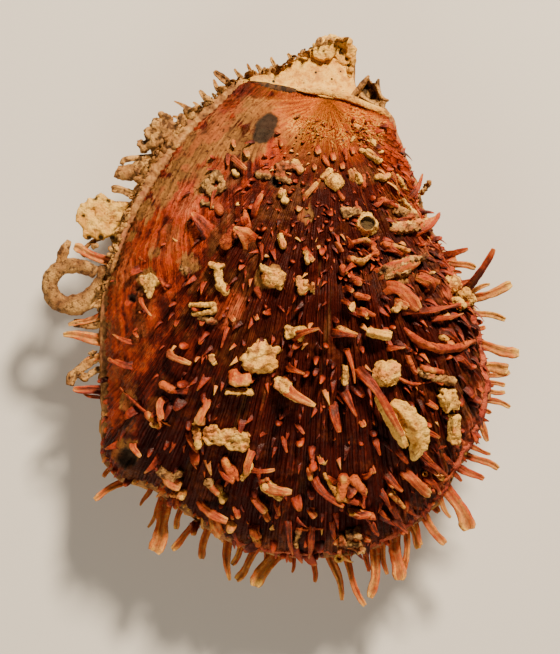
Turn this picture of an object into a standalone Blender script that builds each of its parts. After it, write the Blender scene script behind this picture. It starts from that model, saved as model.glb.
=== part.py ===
"""Spiny oyster shell, both valves closed, lying on the scar where its lower valve was broken off the rock.

The red upper valve is a ribbed dome, and the pale lower valve is a thick cup with the triangular hinge
area at its beak. Spines, nubs and ledges grow out of each valve and are fused to it. Barnacles, a slab of
crust and a looped worm tube are other animals' work, so each is a solid of its own that sits on a valve.

Tables and sizes are in millimetres, and MM turns them into Blender's metres. +Z is up, the beak points
to +Y, and the origin is the middle of the resting scar.
"""

import math

import bmesh
import bpy
import numpy as np
from mathutils import Matrix, Vector

MM = 0.001

# Driving dimensions
COMMISSURE_HEIGHT = 22.0  # the line where the valves meet, above the scar
UPPER_DOME = 20.5  # how far the upper valve rises above that line
UPPER_WALL = 3.6
LOWER_FLOOR = 6.5
SEAM_GAP = 0.3  # between the two valves
SEAT_GAP = 0.4  # under the middle of each thing that sits on a valve, 0.3 at its edge
RIM_SHARE = 0.89  # the cavity's edge, as a share of the distance from the middle to the rim
SCAR_HALF_LENGTH = 19.0
SCAR_HALF_WIDTH = 16.0
BODY_CENTRE = (1.0, 6.0)  # both valves are laid out by angle and distance from here

# The upper valve's edge seen from above, clockwise from the right end of the hinge
UPPER_RIM = [
    (18.0, 42.4), (20.4, 37.0), (22.6, 30.6), (25.0, 22.4), (28.6, 14.8), (33.0, 7.0), (35.8, 1.0),
    (37.0, -6.0), (38.2, -13.0), (37.0, -18.4), (35.0, -23.2), (32.4, -27.4), (30.0, -32.0),
    (26.4, -36.6), (21.8, -40.4), (17.0, -43.4), (11.0, -45.2), (4.6, -45.8), (-3.0, -45.6),
    (-12.2, -43.0), (-18.8, -38.8), (-24.8, -34.4), (-29.4, -31.6), (-34.2, -30.6), (-37.8, -26.0),
    (-37.6, -20.0), (-37.6, -12.0), (-37.9, -2.8), (-37.6, 5.6), (-35.8, 11.8), (-33.0, 19.2),
    (-29.2, 26.8), (-24.2, 34.2), (-19.4, 40.0), (-14.8, 44.2), (-10.0, 47.8), (-2.0, 46.4),
    (6.4, 45.6), (13.0, 44.2),
]
# How far the lower valve reaches past the upper one: (degrees round the shell, millimetres)
OVERHANG = [
    (-180, 0.9), (-150, 1.3), (-138, 1.0), (-90, 0.7), (0, 0.7), (60, 0.8), (71, 1.0), (74, 2.2),
    (76, 4.6), (78, 10.4), (80, 11.6), (83, 11.2), (87, 9.4), (92, 6.8), (98, 3.6), (104, 1.4),
    (112, 1.8), (125, 2.4), (140, 2.3), (155, 1.4), (165, 0.8),
]
# How far the lower valve's edge drops below the seam: deepest at the tip of the hinge area
EDGE_DROP = [(-180, 0.6), (60, 0.6), (72, 1.0), (78, 4.2), (84, 4.2), (92, 2.6), (104, 0.8), (120, 0.6)]

# Spines, nubs and blades of the upper valve: foot x and y, tip x and y, tip's height over the valve, width
UPPER_SPINES = [
    # worn shoulder and beak side
    (-16.8, 18.0, -19.8, 21.8, 2.2, 3.0), (-9.0, 16.4, -11.8, 18.6, 3.6, 2.8), (-9.4, 18.4, -10.2, 20.8, 3.0, 1.6),
    (-8.0, 20.6, -6.6, 25.2, 2.6, 1.2), (-3.2, 17.8, -0.8, 17.0, 2.2, 0.9), (-3.2, 14.4, -2.0, 15.8, 2.6, 1.6),
    (-13.4, 7.0, -14.8, 11.2, 2.6, 1.9), (0.8, 6.2, 3.4, 6.0, 3.2, 1.6), (1.6, 24.2, 4.2, 27.4, 2.2, 1.1),
    (-12.4, 32.4, -9.4, 30.2, 1.8, 1.2), (15.4, 32.0, 13.6, 34.0, 2.0, 1.2), (10.8, 27.8, 10.4, 30.0, 2.2, 1.2),
    # right side, long and leaning out
    (22.0, 25.0, 25.4, 30.0, 3.0, 1.2), (23.0, 17.8, 28.6, 21.8, 3.2, 1.8), (17.0, 14.8, 20.8, 13.6, 2.6, 1.3),
    (16.6, 9.8, 24.0, 12.6, 3.6, 2.4), (17.8, 7.2, 23.8, 3.2, 4.0, 2.2), (26.0, 6.8, 23.6, 9.2, 3.4, 2.0),
    (21.6, 2.4, 34.6, 3.4, 4.0, 1.8), (21.0, -0.4, 34.6, -2.6, 1.6, 2.0), (33.0, 6.4, 38.8, 15.2, 6.0, 1.5),
    (29.4, 13.6, 34.4, 15.0, 2.4, 1.4), (18.8, 4.4, 21.6, 3.4, 2.6, 1.8),
    # middle
    (-19.0, 3.0, -15.6, 4.2, 2.6, 1.7), (-12.8, -0.2, -14.2, -4.4, 2.2, 0.9), (-0.4, -2.6, 4.4, -0.6, 3.4, 1.7),
    (7.0, -1.6, 11.6, -2.0, 3.0, 1.4), (-1.4, -8.2, 1.8, -9.2, 2.4, 1.2), (-2.4, -11.2, 3.6, -15.6, 4.0, 2.3),
    (9.4, -10.6, 9.2, -8.0, 3.0, 1.5), (9.0, -12.4, 11.8, -17.4, 3.4, 1.6), (9.8, -4.8, 11.2, -11.2, 2.6, 0.9),
    (12.2, -8.9, 21.8, -21.4, 6.4, 1.8), (14.4, -1.2, 18.4, -2.0, 2.6, 1.4), (17.4, -4.4, 21.0, -4.2, 2.6, 1.1),
    (10.6, 8.2, 12.6, 7.8, 2.4, 1.2), (12.0, 5.4, 14.2, 5.0, 2.4, 1.2), (11.6, 2.6, 13.8, 2.0, 2.4, 1.2),
    (-10.6, -9.2, -10.6, -11.6, 2.8, 4.2), (-24.4, -5.2, -20.2, -7.6, 2.6, 1.4),
    # lower left
    (-25.6, -14.4, -25.8, -18.2, 3.0, 1.4), (-31.8, -23.0, -30.2, -25.8, 2.6, 1.4), (-17.2, -14.8, -19.2, -19.0, 3.4, 1.5),
    (-20.8, -20.8, -19.2, -24.8, 2.6, 1.1), (-14.4, -27.0, -12.2, -30.2, 3.0, 1.6), (-8.2, -24.0, -9.6, -29.0, 3.0, 1.5),
    (-25.2, -28.8, -22.6, -32.0, 2.6, 2.6), (-15.8, -30.8, -14.6, -32.8, 2.8, 2.4), (-18.6, -34.4, -13.2, -38.4, 3.8, 1.6),
    (-15.8, -38.0, -14.8, -41.8, 3.0, 2.2), (-31.6, -3.4, -36.0, -2.0, 2.2, 1.0), (-32.4, -8.0, -37.0, -6.8, 2.4, 1.4),
    (-8.0, -33.4, -5.6, -36.6, 2.6, 1.6), (-7.8, -39.6, -7.0, -42.2, 2.6, 1.6),
    # lower middle and lower right
    (7.2, -15.4, 8.2, -20.6, 2.6, 1.8), (-6.0, -30.6, -0.8, -32.6, 3.8, 1.9), (3.6, -29.6, 9.2, -35.4, 3.6, 1.6),
    (-1.4, -37.6, -0.2, -45.6, 3.6, 1.2), (3.4, -39.6, 2.6, -46.4, 3.2, 1.3), (10.4, -36.4, 14.8, -36.8, 3.0, 1.5),
    (18.2, -15.8, 24.0, -25.2, 5.2, 3.4), (30.0, -22.6, 29.2, -12.4, 3.4, 2.1), (17.6, -29.0, 21.0, -32.4, 3.2, 1.4),
    (24.4, -25.4, 30.4, -30.6, 2.8, 1.0), (21.0, -28.4, 26.6, -33.2, 4.0, 1.9), (16.4, -32.0, 18.8, -36.0, 3.2, 1.1),
    (18.8, -37.4, 22.2, -41.4, 3.0, 1.3), (10.0, -30.6, 11.8, -32.6, 3.0, 2.6), (11.0, -40.6, 11.8, -43.6, 3.0, 2.4),
]

# Spines of the lower valve's edge, clockwise from the upper right: foot, tip, tip's height, width
RIM_SPINES = [
    (30.0, 12.6, 36.2, 11.4, -0.6, 1.4), (32.6, 8.4, 35.6, 8.8, -1.0, 1.0), (34.4, 5.0, 43.4, 7.8, 0.6, 1.6),
    (35.6, 2.4, 42.2, 1.4, -1.2, 1.2), (35.8, -3.4, 44.8, -5.8, -0.4, 1.8), (36.6, -8.6, 42.8, -8.4, -1.6, 2.0),
    (37.4, -13.0, 42.2, -13.6, -2.0, 1.0), (37.6, -14.8, 43.2, -16.2, -0.6, 1.2), (36.4, -18.4, 39.0, -23.2, -1.4, 1.6),
    (34.6, -24.2, 39.4, -25.8, -2.4, 1.0), (33.8, -25.8, 40.8, -28.8, -0.6, 1.3), (32.4, -28.2, 37.8, -31.2, -1.6, 1.5),
    (30.0, -32.2, 35.4, -40.8, -0.6, 2.3), (25.6, -37.6, 29.8, -44.2, -1.8, 1.6), (22.8, -39.6, 25.2, -44.8, -2.8, 1.1),
    (20.0, -41.8, 20.6, -51.2, -0.8, 2.3), (16.2, -43.8, 15.6, -54.8, -1.6, 1.8), (9.8, -45.4, 13.8, -56.4, -1.0, 1.3),
    (6.8, -45.6, 10.0, -55.4, -3.4, 1.6), (3.6, -45.8, 4.0, -51.8, -2.6, 1.1), (-3.2, -45.4, -8.2, -52.4, -0.8, 2.3),
    (-7.4, -44.4, -11.8, -51.4, -2.2, 1.5), (-13.4, -42.8, -13.6, -51.4, -1.2, 1.7), (-19.0, -39.2, -25.0, -45.0, -2.6, 1.3),
    (-17.2, -40.4, -19.2, -47.0, -2.0, 1.5), (-25.6, -34.2, -28.2, -45.6, -0.8, 2.6), (-33.2, -31.0, -40.4, -34.6, -0.6, 1.3),
    # left side, the older and rougher edge
    (-37.6, -13.2, -44.4, -12.4, -0.6, 1.2), (-38.0, -8.4, -45.6, -11.4, -2.2, 1.7), (-38.0, -2.8, -46.6, -2.2, -1.8, 1.5),
    (-37.2, 12.8, -44.4, 15.4, -0.8, 1.6), (-32.0, 26.0, -36.8, 27.4, -1.6, 1.6), (-26.8, 33.2, -35.8, 30.6, -1.4, 2.9),
    (-24.6, 36.2, -31.4, 36.4, -2.4, 1.4), (-19.4, 41.6, -24.0, 45.2, -0.8, 0.9), (-16.6, 44.4, -19.4, 47.0, -1.6, 1.2),
    (-12.6, 47.6, -16.0, 51.2, -0.8, 1.5), (-6.0, 49.4, -7.8, 52.4, -1.8, 1.2), (0.0, 51.4, -1.2, 54.8, -2.2, 1.3),
    # the curled lamella at the right end of the hinge
    (14.8, 44.4, 17.0, 49.4, 0.8, 3.2),
]
# Broad ledges of the left side: foot, tip, drop below the seam, width, thickness
LEDGES = [
    (-34.4, 20.2, -43.0, 21.6, 1.4, 8.2, 1.6),
    (-25.0, 35.0, -30.2, 38.6, 1.6, 6.2, 2.0),
    (-37.2, 0.7, -44.4, -0.3, 2.6, 1.8, 1.6),
]
# Short spines on the lower valve's flank: (degrees round the shell, share of the way down, length)
FLANK_SPINES = [
    (-170, 0.30, 4.6), (-148, 0.42, 4.0), (-125, 0.28, 5.2), (-108, 0.44, 4.2), (-92, 0.28, 5.0), (-74, 0.42, 4.4),
    (-57, 0.26, 5.4), (-40, 0.42, 4.4), (-24, 0.27, 4.8), (-6, 0.42, 4.0), (14, 0.28, 4.4), (36, 0.36, 3.6),
    (118, 0.32, 4.2), (140, 0.44, 4.6), (158, 0.30, 4.2), (172, 0.45, 3.8),
]
# Lumps of porous crust grown over the tip of the hinge area: centre x, y, height over the seam, radius
HINGE_LUMPS = [(7.6, 54.2, -2.2, 2.6), (10.4, 55.0, -2.6, 2.4), (11.0, 51.4, -2.4, 1.8)]

# Barnacles and crust lumps on the upper valve: name, foot x and y, foot radius, height, mouth's share of the radius
BARNACLES = [
    ("barnacle_open", 13.6, 19.8, 2.2, 2.4, 0.45),
    ("barnacle_bulb", 7.6, 27.4, 1.9, 2.8, 0.0),
    ("barnacle_middle", -6.4, -6.2, 2.3, 2.4, 0.0),
    ("barnacle_low", 17.6, -9.2, 2.2, 2.8, 0.0),
    ("barnacle_edge", 30.4, 8.6, 2.1, 2.6, 0.30),
    ("barnacle_shoulder", -4.4, 9.2, 1.7, 2.0, 0.0),
]
CRUST_SLAB = {"x": -13.4, "y": -22.4, "length": 8.6, "width": 3.6, "height": 2.2, "turn": -8.0}

# The looped worm tube at the left: points along its middle, x, y and height below the seam
WORM_TUBE = [
    (-40.3, 7.2, 3.1), (-42.2, 5.0, 2.9), (-45.0, 4.2, 2.7), (-47.9, 5.0, 2.5), (-49.1, 7.4, 2.4),
    (-48.7, 9.9, 2.3), (-46.9, 11.4, 2.3), (-44.2, 11.6, 2.2), (-41.9, 11.0, 2.1),
]
WORM_TUBE_RADIUS = 1.6
WORM_TUBE_SIDES = 10

RING_ANGLES = sorted(set(range(-180, 180, 5)) | {73, 76, 78, 83, 87, 92, 98, 103})
UPPER_RINGS = [0.2, 0.38, 0.55, 0.7, 0.83, 0.93, 1.0]
UPPER_CAVITY_RINGS = [0.8, 0.5, 0.22]
LOWER_CAVITY_RINGS = [0.25, 0.55, 0.82]
FLANK_STEPS = [10, 24, 38, 52, 66, 78]  # degrees of the quarter ellipse from the edge to the scar

RED_SHELL = (0.30, 0.055, 0.03)
PALE_SHELL = (0.62, 0.42, 0.24)
CREAM_CRUST = (0.78, 0.62, 0.38)


def table_value(table, degrees):
    """A value read from (degrees, value) pairs round the shell, in straight steps between them."""
    angles, values = zip(*table)
    return float(np.interp((degrees + 180) % 360 - 180, angles, values, period=360))


def smooth_path(points, steps, closed):
    """A smooth curve through points, with steps to each stretch. The ends of an open one are kept."""
    points = np.array(points, dtype=float)
    count = len(points)
    fine = []
    for i in range(count if closed else count - 1):
        picks = [i - 1, i, i + 1, i + 2]
        picks = [k % count for k in picks] if closed else [min(max(k, 0), count - 1) for k in picks]
        before, start, end, after = points[picks]
        for t in np.linspace(0, 1, steps, endpoint=False):
            square = (2 * before - 5 * start + 4 * end - after) * t**2
            cube = (3 * start - before - 3 * end + after) * t**3
            fine.append((2 * start + (end - before) * t + square + cube) / 2)
    return np.array(fine if closed else fine + [points[-1]])


def smooth_rim():
    """The rim as (degrees, distance) pairs, one a degree, along a smooth closed curve through UPPER_RIM."""
    offset = smooth_path(UPPER_RIM, 12, True) - BODY_CENTRE
    angle = np.degrees(np.arctan2(offset[:, 1], offset[:, 0]))
    order = np.argsort(angle)
    degrees = np.arange(-180, 180)
    return degrees, np.interp(degrees, angle[order], np.hypot(*offset[order].T), period=360)


RIM_DEGREES, RIM_DISTANCES = smooth_rim()


def rim_distance(degrees):
    return float(np.interp(degrees, RIM_DEGREES, RIM_DISTANCES, period=360))


def seam_height(degrees):
    """The seam between the valves rises and falls gently round the shell."""
    turn = math.radians(degrees)
    return COMMISSURE_HEIGHT + 0.7 * math.cos(2 * turn + 0.6) + 0.35 * math.cos(5 * turn)


def round_the_shell(x, y):
    """(degrees, share of the way to the rim) of a place seen from above."""
    dx, dy = x - BODY_CENTRE[0], y - BODY_CENTRE[1]
    degrees = math.degrees(math.atan2(dy, dx))
    return degrees, math.hypot(dx, dy) / rim_distance(degrees)


def place(degrees, distance, height):
    turn = math.radians(degrees)
    x = BODY_CENTRE[0] + distance * math.cos(turn)
    y = BODY_CENTRE[1] + distance * math.sin(turn)
    return Vector((x, y, height))


def dome(share):
    """1 in the middle and 0 at the rim, round on top and steep at the edge."""
    return max(0.0, 1.0 - min(share, 1.0) ** 2.3) ** 0.78


def upper_surface(x, y):
    """Height of the upper valve's outside. Past the rim it is the seam's height."""
    degrees, share = round_the_shell(x, y)
    return seam_height(degrees) + SEAM_GAP / 2 + UPPER_DOME * dome(share)


def loft(first, rings, last):
    """A closed skin from the point first, through rings of equal length, to the point last or a flat end."""
    mesh = bmesh.new()
    loops = [[mesh.verts.new(p * MM) for p in ring] for ring in rings]
    count = len(loops[0])
    start = mesh.verts.new(first * MM)
    for i in range(count):
        mesh.faces.new((start, loops[0][i], loops[0][(i + 1) % count]))
    for inner, outer in zip(loops, loops[1:]):
        for i in range(count):
            j = (i + 1) % count
            mesh.faces.new((inner[i], outer[i], outer[j], inner[j]))
    if last is None:
        mesh.faces.new(reversed(loops[-1]))
    else:
        end = mesh.verts.new(last * MM)
        for i in range(count):
            mesh.faces.new((end, loops[-1][(i + 1) % count], loops[-1][i]))
    bmesh.ops.recalc_face_normals(mesh, faces=mesh.faces)
    return mesh


def material(name, colour, roughness):
    made = bpy.data.materials.new(name)
    made.use_nodes = True
    shader = made.node_tree.nodes["Principled BSDF"]
    shader.inputs["Base Color"].default_value = (*colour, 1.0)
    shader.inputs["Roughness"].default_value = roughness
    shader.inputs["Metallic"].default_value = 0.0
    return made


def add_object(name, mesh, finish):
    """A scene object from a bmesh, which is freed."""
    data = bpy.data.meshes.new(name)
    mesh.to_mesh(data)
    mesh.free()
    data.materials.append(finish)
    made = bpy.data.objects.new(name, data)
    bpy.context.scene.collection.objects.link(made)
    return made


def add_ring(mesh, centre, along, across, width, thickness):
    """Four corners of a spine's section, square to along and with its broad side along across."""
    up = across.cross(along).normalized()
    return [
        mesh.verts.new((centre + across * (a * width / 2) + up * (b * thickness / 2)) * MM)
        for a, b in ((-1, -1), (1, -1), (1, 1), (-1, 1))
    ]


def add_spine(mesh, foot, tip, width, thickness, taper, bow):
    """A four-sided spine from foot to tip that bows upwards, with its end narrowed by taper."""
    middle = (foot + tip) / 2 + Vector((0, 0, bow))
    across = (tip - foot).cross(Vector((0, 0, 1))).normalized()
    stations = [(foot, middle - foot, 1.0), (middle, tip - foot, 0.92), (tip, tip - middle, taper)]
    rings = [
        add_ring(mesh, centre, along.normalized(), across, width * size, thickness * size)
        for centre, along, size in stations
    ]
    for low, high in zip(rings, rings[1:]):
        for i in range(4):
            j = (i + 1) % 4
            mesh.faces.new((low[i], low[j], high[j], high[i]))
    mesh.faces.new(reversed(rings[0]))
    mesh.faces.new(rings[-1])


def fuse(valve, growth):
    """Joins growth to the valve in one closed body with a Boolean union."""
    growth.hide_render = True
    growth.display_type = "WIRE"
    union = valve.modifiers.new("growth", "BOOLEAN")
    union.operation = "UNION"
    union.solver = "EXACT"
    union.use_self = True
    union.object = growth


def upper_spines():
    """Every spine of the upper valve, rooted inside its wall and kept clear of the seam."""
    mesh = bmesh.new()
    for foot_x, foot_y, tip_x, tip_y, rise, width in UPPER_SPINES:
        foot = Vector((foot_x, foot_y, upper_surface(foot_x, foot_y)))
        lift = max(rise, 1.2 + width / 2)
        tip = Vector((tip_x, tip_y, upper_surface(tip_x, tip_y) + lift))
        along = (tip - foot).normalized()
        root = foot - along * 1.0 - Vector((0, 0, 0.35))
        root.z = max(root.z, COMMISSURE_HEIGHT + 1.6)
        add_spine(mesh, root, tip, width, width * 0.62, 0.62, 0.12 * rise)
    bmesh.ops.recalc_face_normals(mesh, faces=mesh.faces)
    return mesh


def make_upper_valve(finish):
    """The dome, its flat rim and the cavity under it, with the spines fused on."""

    def outside(degrees, share):
        height = seam_height(degrees) + SEAM_GAP / 2 + UPPER_DOME * dome(share)
        return place(degrees, rim_distance(degrees) * share, height)

    def inside(degrees, share):
        height = seam_height(degrees) + SEAM_GAP / 2 + (UPPER_DOME - UPPER_WALL) * dome(share)
        return place(degrees, rim_distance(degrees) * RIM_SHARE * share, height)

    rings = [[outside(a, share) for a in RING_ANGLES] for share in UPPER_RINGS]
    rings.append([inside(a, 1.0) for a in RING_ANGLES])
    rings += [[inside(a, share) for a in RING_ANGLES] for share in UPPER_CAVITY_RINGS]
    top = Vector((*BODY_CENTRE, COMMISSURE_HEIGHT + SEAM_GAP / 2 + UPPER_DOME))
    valve = add_object("upper_valve", loft(top, rings, top - Vector((0, 0, UPPER_WALL))), finish)
    fuse(valve, add_object("upper_valve_growth", upper_spines(), finish))
    return valve


def lower_edge(degrees):
    """The lower valve's outermost edge."""
    reach = rim_distance(degrees) + table_value(OVERHANG, degrees)
    return place(degrees, reach, seam_height(degrees) - SEAM_GAP / 2 - table_value(EDGE_DROP, degrees))


def scar_edge(degrees):
    """The scar is a flat oval round the origin."""
    turn = math.radians(degrees)
    return Vector((SCAR_HALF_WIDTH * math.cos(turn), SCAR_HALF_LENGTH * math.sin(turn), 0.0))


def flank(degrees, step):
    """The lower valve's side: a quarter ellipse from its edge, at step 0, to the scar, at step 90."""
    edge, scar = lower_edge(degrees), scar_edge(degrees)
    turn = math.radians(step)
    side = scar + (edge - scar) * math.cos(turn)
    side.z = edge.z * (1 - math.sin(turn))
    return side


def lower_growth():
    """Spines, ledges and hinge lumps of the lower valve."""
    mesh = bmesh.new()
    for foot_x, foot_y, tip_x, tip_y, height, width in RIM_SPINES:
        degrees, _ = round_the_shell(foot_x, foot_y)
        seam = seam_height(degrees)
        thickness = min(1.6, width * 0.62)
        below = SEAM_GAP + 0.35 + thickness / 2
        foot = Vector((foot_x, foot_y, seam - below - 0.8 - table_value(EDGE_DROP, degrees)))
        tip = Vector((tip_x, tip_y, seam - below + min(height, 0.0)))
        root = foot - (tip - foot).normalized() * 1.4
        add_spine(mesh, root, tip, width, thickness, 0.72, 0.25)
    for foot_x, foot_y, tip_x, tip_y, drop, width, thickness in LEDGES:
        height = seam_height(round_the_shell(foot_x, foot_y)[0]) - drop - thickness / 2
        foot = Vector((foot_x, foot_y, height))
        add_spine(mesh, foot, Vector((tip_x, tip_y, height)), width, thickness, 0.8, 0.1)
    for degrees, down, length in FLANK_SPINES:
        foot = flank(degrees, 90 * down)
        inner = flank(degrees, 90 * down + 8)
        outward = Vector((foot.x - BODY_CENTRE[0], foot.y - BODY_CENTRE[1], 0)).normalized()
        slope = (inner - foot).normalized()
        normal = (outward - slope * outward.dot(slope)).normalized()
        lean = (normal + outward * 0.6).normalized()
        add_spine(mesh, foot - lean * 1.2, foot + lean * length, 1.5, 1.0, 0.7, 0.2)
    for x, y, rise, radius in HINGE_LUMPS:
        centre = Vector((x, y, seam_height(round_the_shell(x, y)[0]) + rise)) * MM
        bmesh.ops.create_icosphere(mesh, subdivisions=1, radius=radius * MM, matrix=Matrix.Translation(centre))
    bmesh.ops.recalc_face_normals(mesh, faces=mesh.faces)
    return mesh


def make_lower_valve(finish):
    """The cup: its cavity, the flat rim under the upper valve, the hinge area and the flank down to the scar."""

    def cavity(degrees, share):
        depth = (COMMISSURE_HEIGHT - LOWER_FLOOR) * dome(share)
        return place(degrees, rim_distance(degrees) * RIM_SHARE * share, seam_height(degrees) - SEAM_GAP / 2 - depth)

    rings = [[cavity(a, share) for a in RING_ANGLES] for share in LOWER_CAVITY_RINGS]
    rings.append([cavity(a, 1.0) for a in RING_ANGLES])
    rings.append([place(a, rim_distance(a), seam_height(a) - SEAM_GAP / 2) for a in RING_ANGLES])
    rings.append([lower_edge(a) for a in RING_ANGLES])
    rings += [[flank(a, step) for a in RING_ANGLES] for step in FLANK_STEPS]
    rings.append([scar_edge(a) for a in RING_ANGLES])
    valve = add_object("lower_valve", loft(Vector((*BODY_CENTRE, LOWER_FLOOR - SEAM_GAP / 2)), rings, None), finish)
    fuse(valve, add_object("lower_valve_growth", lower_growth(), finish))
    return valve


def seat(x, y, turn=0.0):
    """A frame just off the upper valve: Z square to the surface, X turned from the shell's own by turn degrees."""
    step = 0.8
    slope_x = (upper_surface(x + step, y) - upper_surface(x - step, y)) / (2 * step)
    slope_y = (upper_surface(x, y + step) - upper_surface(x, y - step)) / (2 * step)
    normal = Vector((-slope_x, -slope_y, 1)).normalized()
    along = Matrix.Rotation(math.radians(turn), 3, normal) @ Vector((1, 0, slope_x)).normalized()
    point = Vector((x, y, upper_surface(x, y))) + normal * SEAT_GAP
    frame = Matrix((along, normal.cross(along), normal)).transposed().to_4x4()
    return Matrix.Translation(point * MM) @ frame


def make_barnacle(name, x, y, radius, height, mouth, finish):
    """A squat cone with a hollow at its top, or a closed bulb where mouth is 0."""
    sides = 12
    if mouth:
        profile = [(1.0, 0.0), (0.94, 0.35), (0.72, 0.92), (0.6, 1.0), (mouth, 0.9), (mouth * 0.7, 0.45)]
    else:
        profile = [(1.0, 0.0), (1.04, 0.3), (0.9, 0.66), (0.5, 0.95)]
    rings = [
        [
            Vector((radius * share * math.cos(turn), radius * share * math.sin(turn), height * rise))
            for turn in (2 * math.pi * k / sides for k in range(sides))
        ]
        for share, rise in profile
    ]
    top = Vector((0, 0, height * (0.4 if mouth else 1.0)))
    made = add_object(name, loft(Vector((0, 0, 0)), rings, top), finish)
    made.matrix_world = seat(x, y)
    return made


def make_crust_slab(finish):
    """The long slab of pale crust on the lower left of the upper valve."""
    slab = CRUST_SLAB
    mesh = bmesh.new()
    bmesh.ops.create_cube(mesh, size=MM)
    bmesh.ops.scale(mesh, vec=(slab["length"], slab["width"], slab["height"]), verts=mesh.verts)
    bmesh.ops.bevel(mesh, geom=mesh.edges[:], offset=0.5 * MM, segments=1, affect="EDGES")
    bmesh.ops.translate(mesh, vec=(0, 0, slab["height"] / 2 * MM), verts=mesh.verts)
    made = add_object("crust_slab", mesh, finish)
    made.matrix_world = seat(slab["x"], slab["y"], slab["turn"])
    return made


def make_worm_tube(finish):
    """Round rings along a smooth curve through the tube's points, closed at both ends."""
    path = [Vector((x, y, COMMISSURE_HEIGHT - drop)) for x, y, drop in smooth_path(WORM_TUBE, 3, False)]
    rings = []
    for i, centre in enumerate(path):
        along = (path[min(i + 1, len(path) - 1)] - path[max(i - 1, 0)]).normalized()
        side = along.cross(Vector((0, 0, 1))).normalized()
        up = side.cross(along)
        turns = [2 * math.pi * k / WORM_TUBE_SIDES for k in range(WORM_TUBE_SIDES)]
        rings.append([centre + (side * math.cos(t) + up * math.sin(t)) * WORM_TUBE_RADIUS for t in turns])
    return add_object("worm_tube", loft(path[0], rings, path[-1]), finish)


def clear_scene():
    for old in list(bpy.data.objects):
        bpy.data.objects.remove(old)


def main():
    clear_scene()
    red = material("red_shell", RED_SHELL, 0.55)
    pale = material("pale_shell", PALE_SHELL, 0.7)
    cream = material("cream_crust", CREAM_CRUST, 0.8)
    make_upper_valve(red)
    make_lower_valve(pale)
    for name, x, y, radius, height, mouth in BARNACLES:
        make_barnacle(name, x, y, radius, height, mouth, cream)
    make_crust_slab(cream)
    make_worm_tube(pale)


main()
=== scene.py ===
# %% [markdown]
# # A spiny oyster shell, dressed cell by cell
#
# The shell was collected with both valves closed. It lies on its pale lower valve, and the red upper valve
# faces the camera, bristling with spines and overgrown by other sea life. The solids of the model are loaded
# first as a fixed frame, and each visible piece is then made around them, in the same place and at full size.

# %% Load the frame
import math

import bmesh
import bpy
import numpy as np
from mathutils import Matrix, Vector


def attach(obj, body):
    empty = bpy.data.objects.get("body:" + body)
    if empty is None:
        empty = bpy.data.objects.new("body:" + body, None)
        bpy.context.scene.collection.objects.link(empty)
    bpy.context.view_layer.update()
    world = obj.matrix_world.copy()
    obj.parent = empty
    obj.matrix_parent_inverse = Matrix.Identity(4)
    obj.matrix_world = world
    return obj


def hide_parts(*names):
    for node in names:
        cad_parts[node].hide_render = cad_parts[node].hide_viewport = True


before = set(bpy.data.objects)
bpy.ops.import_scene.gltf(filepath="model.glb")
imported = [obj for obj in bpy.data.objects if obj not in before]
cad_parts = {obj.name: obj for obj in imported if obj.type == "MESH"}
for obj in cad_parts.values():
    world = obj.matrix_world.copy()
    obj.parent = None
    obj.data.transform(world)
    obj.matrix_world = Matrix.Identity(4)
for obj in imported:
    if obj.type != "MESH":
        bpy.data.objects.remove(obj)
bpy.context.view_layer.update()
print("nodes in the frame:", sorted(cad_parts))

# %% [markdown]
# ## The form that everything sits on
#
# Both valves follow one outline, the line where they meet. It is kept as a short list of points, in
# millimetres, that a smooth curve joins. The dome of the upper valve and the cup of the lower valve are then
# plain formulas of the angle round the shell and of the share of the way from its middle to that outline. One
# formula for all pieces keeps a spine's foot exactly on the surface that it grows from.

# %% The outline and the two valves' formulas
MM = 0.001
COMMISSURE_HEIGHT = 22.0
UPPER_DOME = 20.5
LOWER_FLOOR = 6.5
SEAM_GAP = 0.3
SCAR_HALF_LENGTH = 19.0
SCAR_HALF_WIDTH = 16.0
BODY_CENTRE = np.array((1.0, 6.0))
BEAK = np.array((6.4, 45.3))
UPPER_RIM = [
    (18.0, 42.4), (20.4, 37.0), (22.6, 30.6), (25.0, 22.4), (28.6, 14.8), (33.0, 7.0), (35.8, 1.0),
    (37.0, -6.0), (38.2, -13.0), (37.0, -18.4), (35.0, -23.2), (32.4, -27.4), (30.0, -32.0),
    (26.4, -36.6), (21.8, -40.4), (17.0, -43.4), (11.0, -45.2), (4.6, -45.8), (-3.0, -45.6),
    (-12.2, -43.0), (-18.8, -38.8), (-24.8, -34.4), (-29.4, -31.6), (-34.2, -30.6), (-37.8, -26.0),
    (-37.6, -20.0), (-37.6, -12.0), (-37.9, -2.8), (-37.6, 5.6), (-35.8, 11.8), (-33.0, 19.2),
    (-29.2, 26.8), (-24.2, 34.2), (-19.4, 40.0), (-14.8, 44.2), (-10.0, 47.8), (-2.0, 46.4),
    (6.4, 45.6), (13.0, 44.2),
]
OVERHANG = [
    (-180, 0.9), (-150, 1.3), (-138, 1.0), (-90, 0.7), (0, 0.7), (60, 0.8), (71, 1.0), (74, 2.2),
    (76, 4.6), (78, 10.4), (80, 11.6), (83, 11.2), (87, 9.4), (92, 6.8), (98, 3.6), (104, 1.4),
    (112, 1.8), (125, 2.4), (140, 2.3), (155, 1.4), (165, 0.8),
]
EDGE_DROP = [(-180, 0.6), (60, 0.6), (72, 1.0), (78, 4.2), (84, 4.2), (92, 2.6), (104, 0.8), (120, 0.6)]


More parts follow.
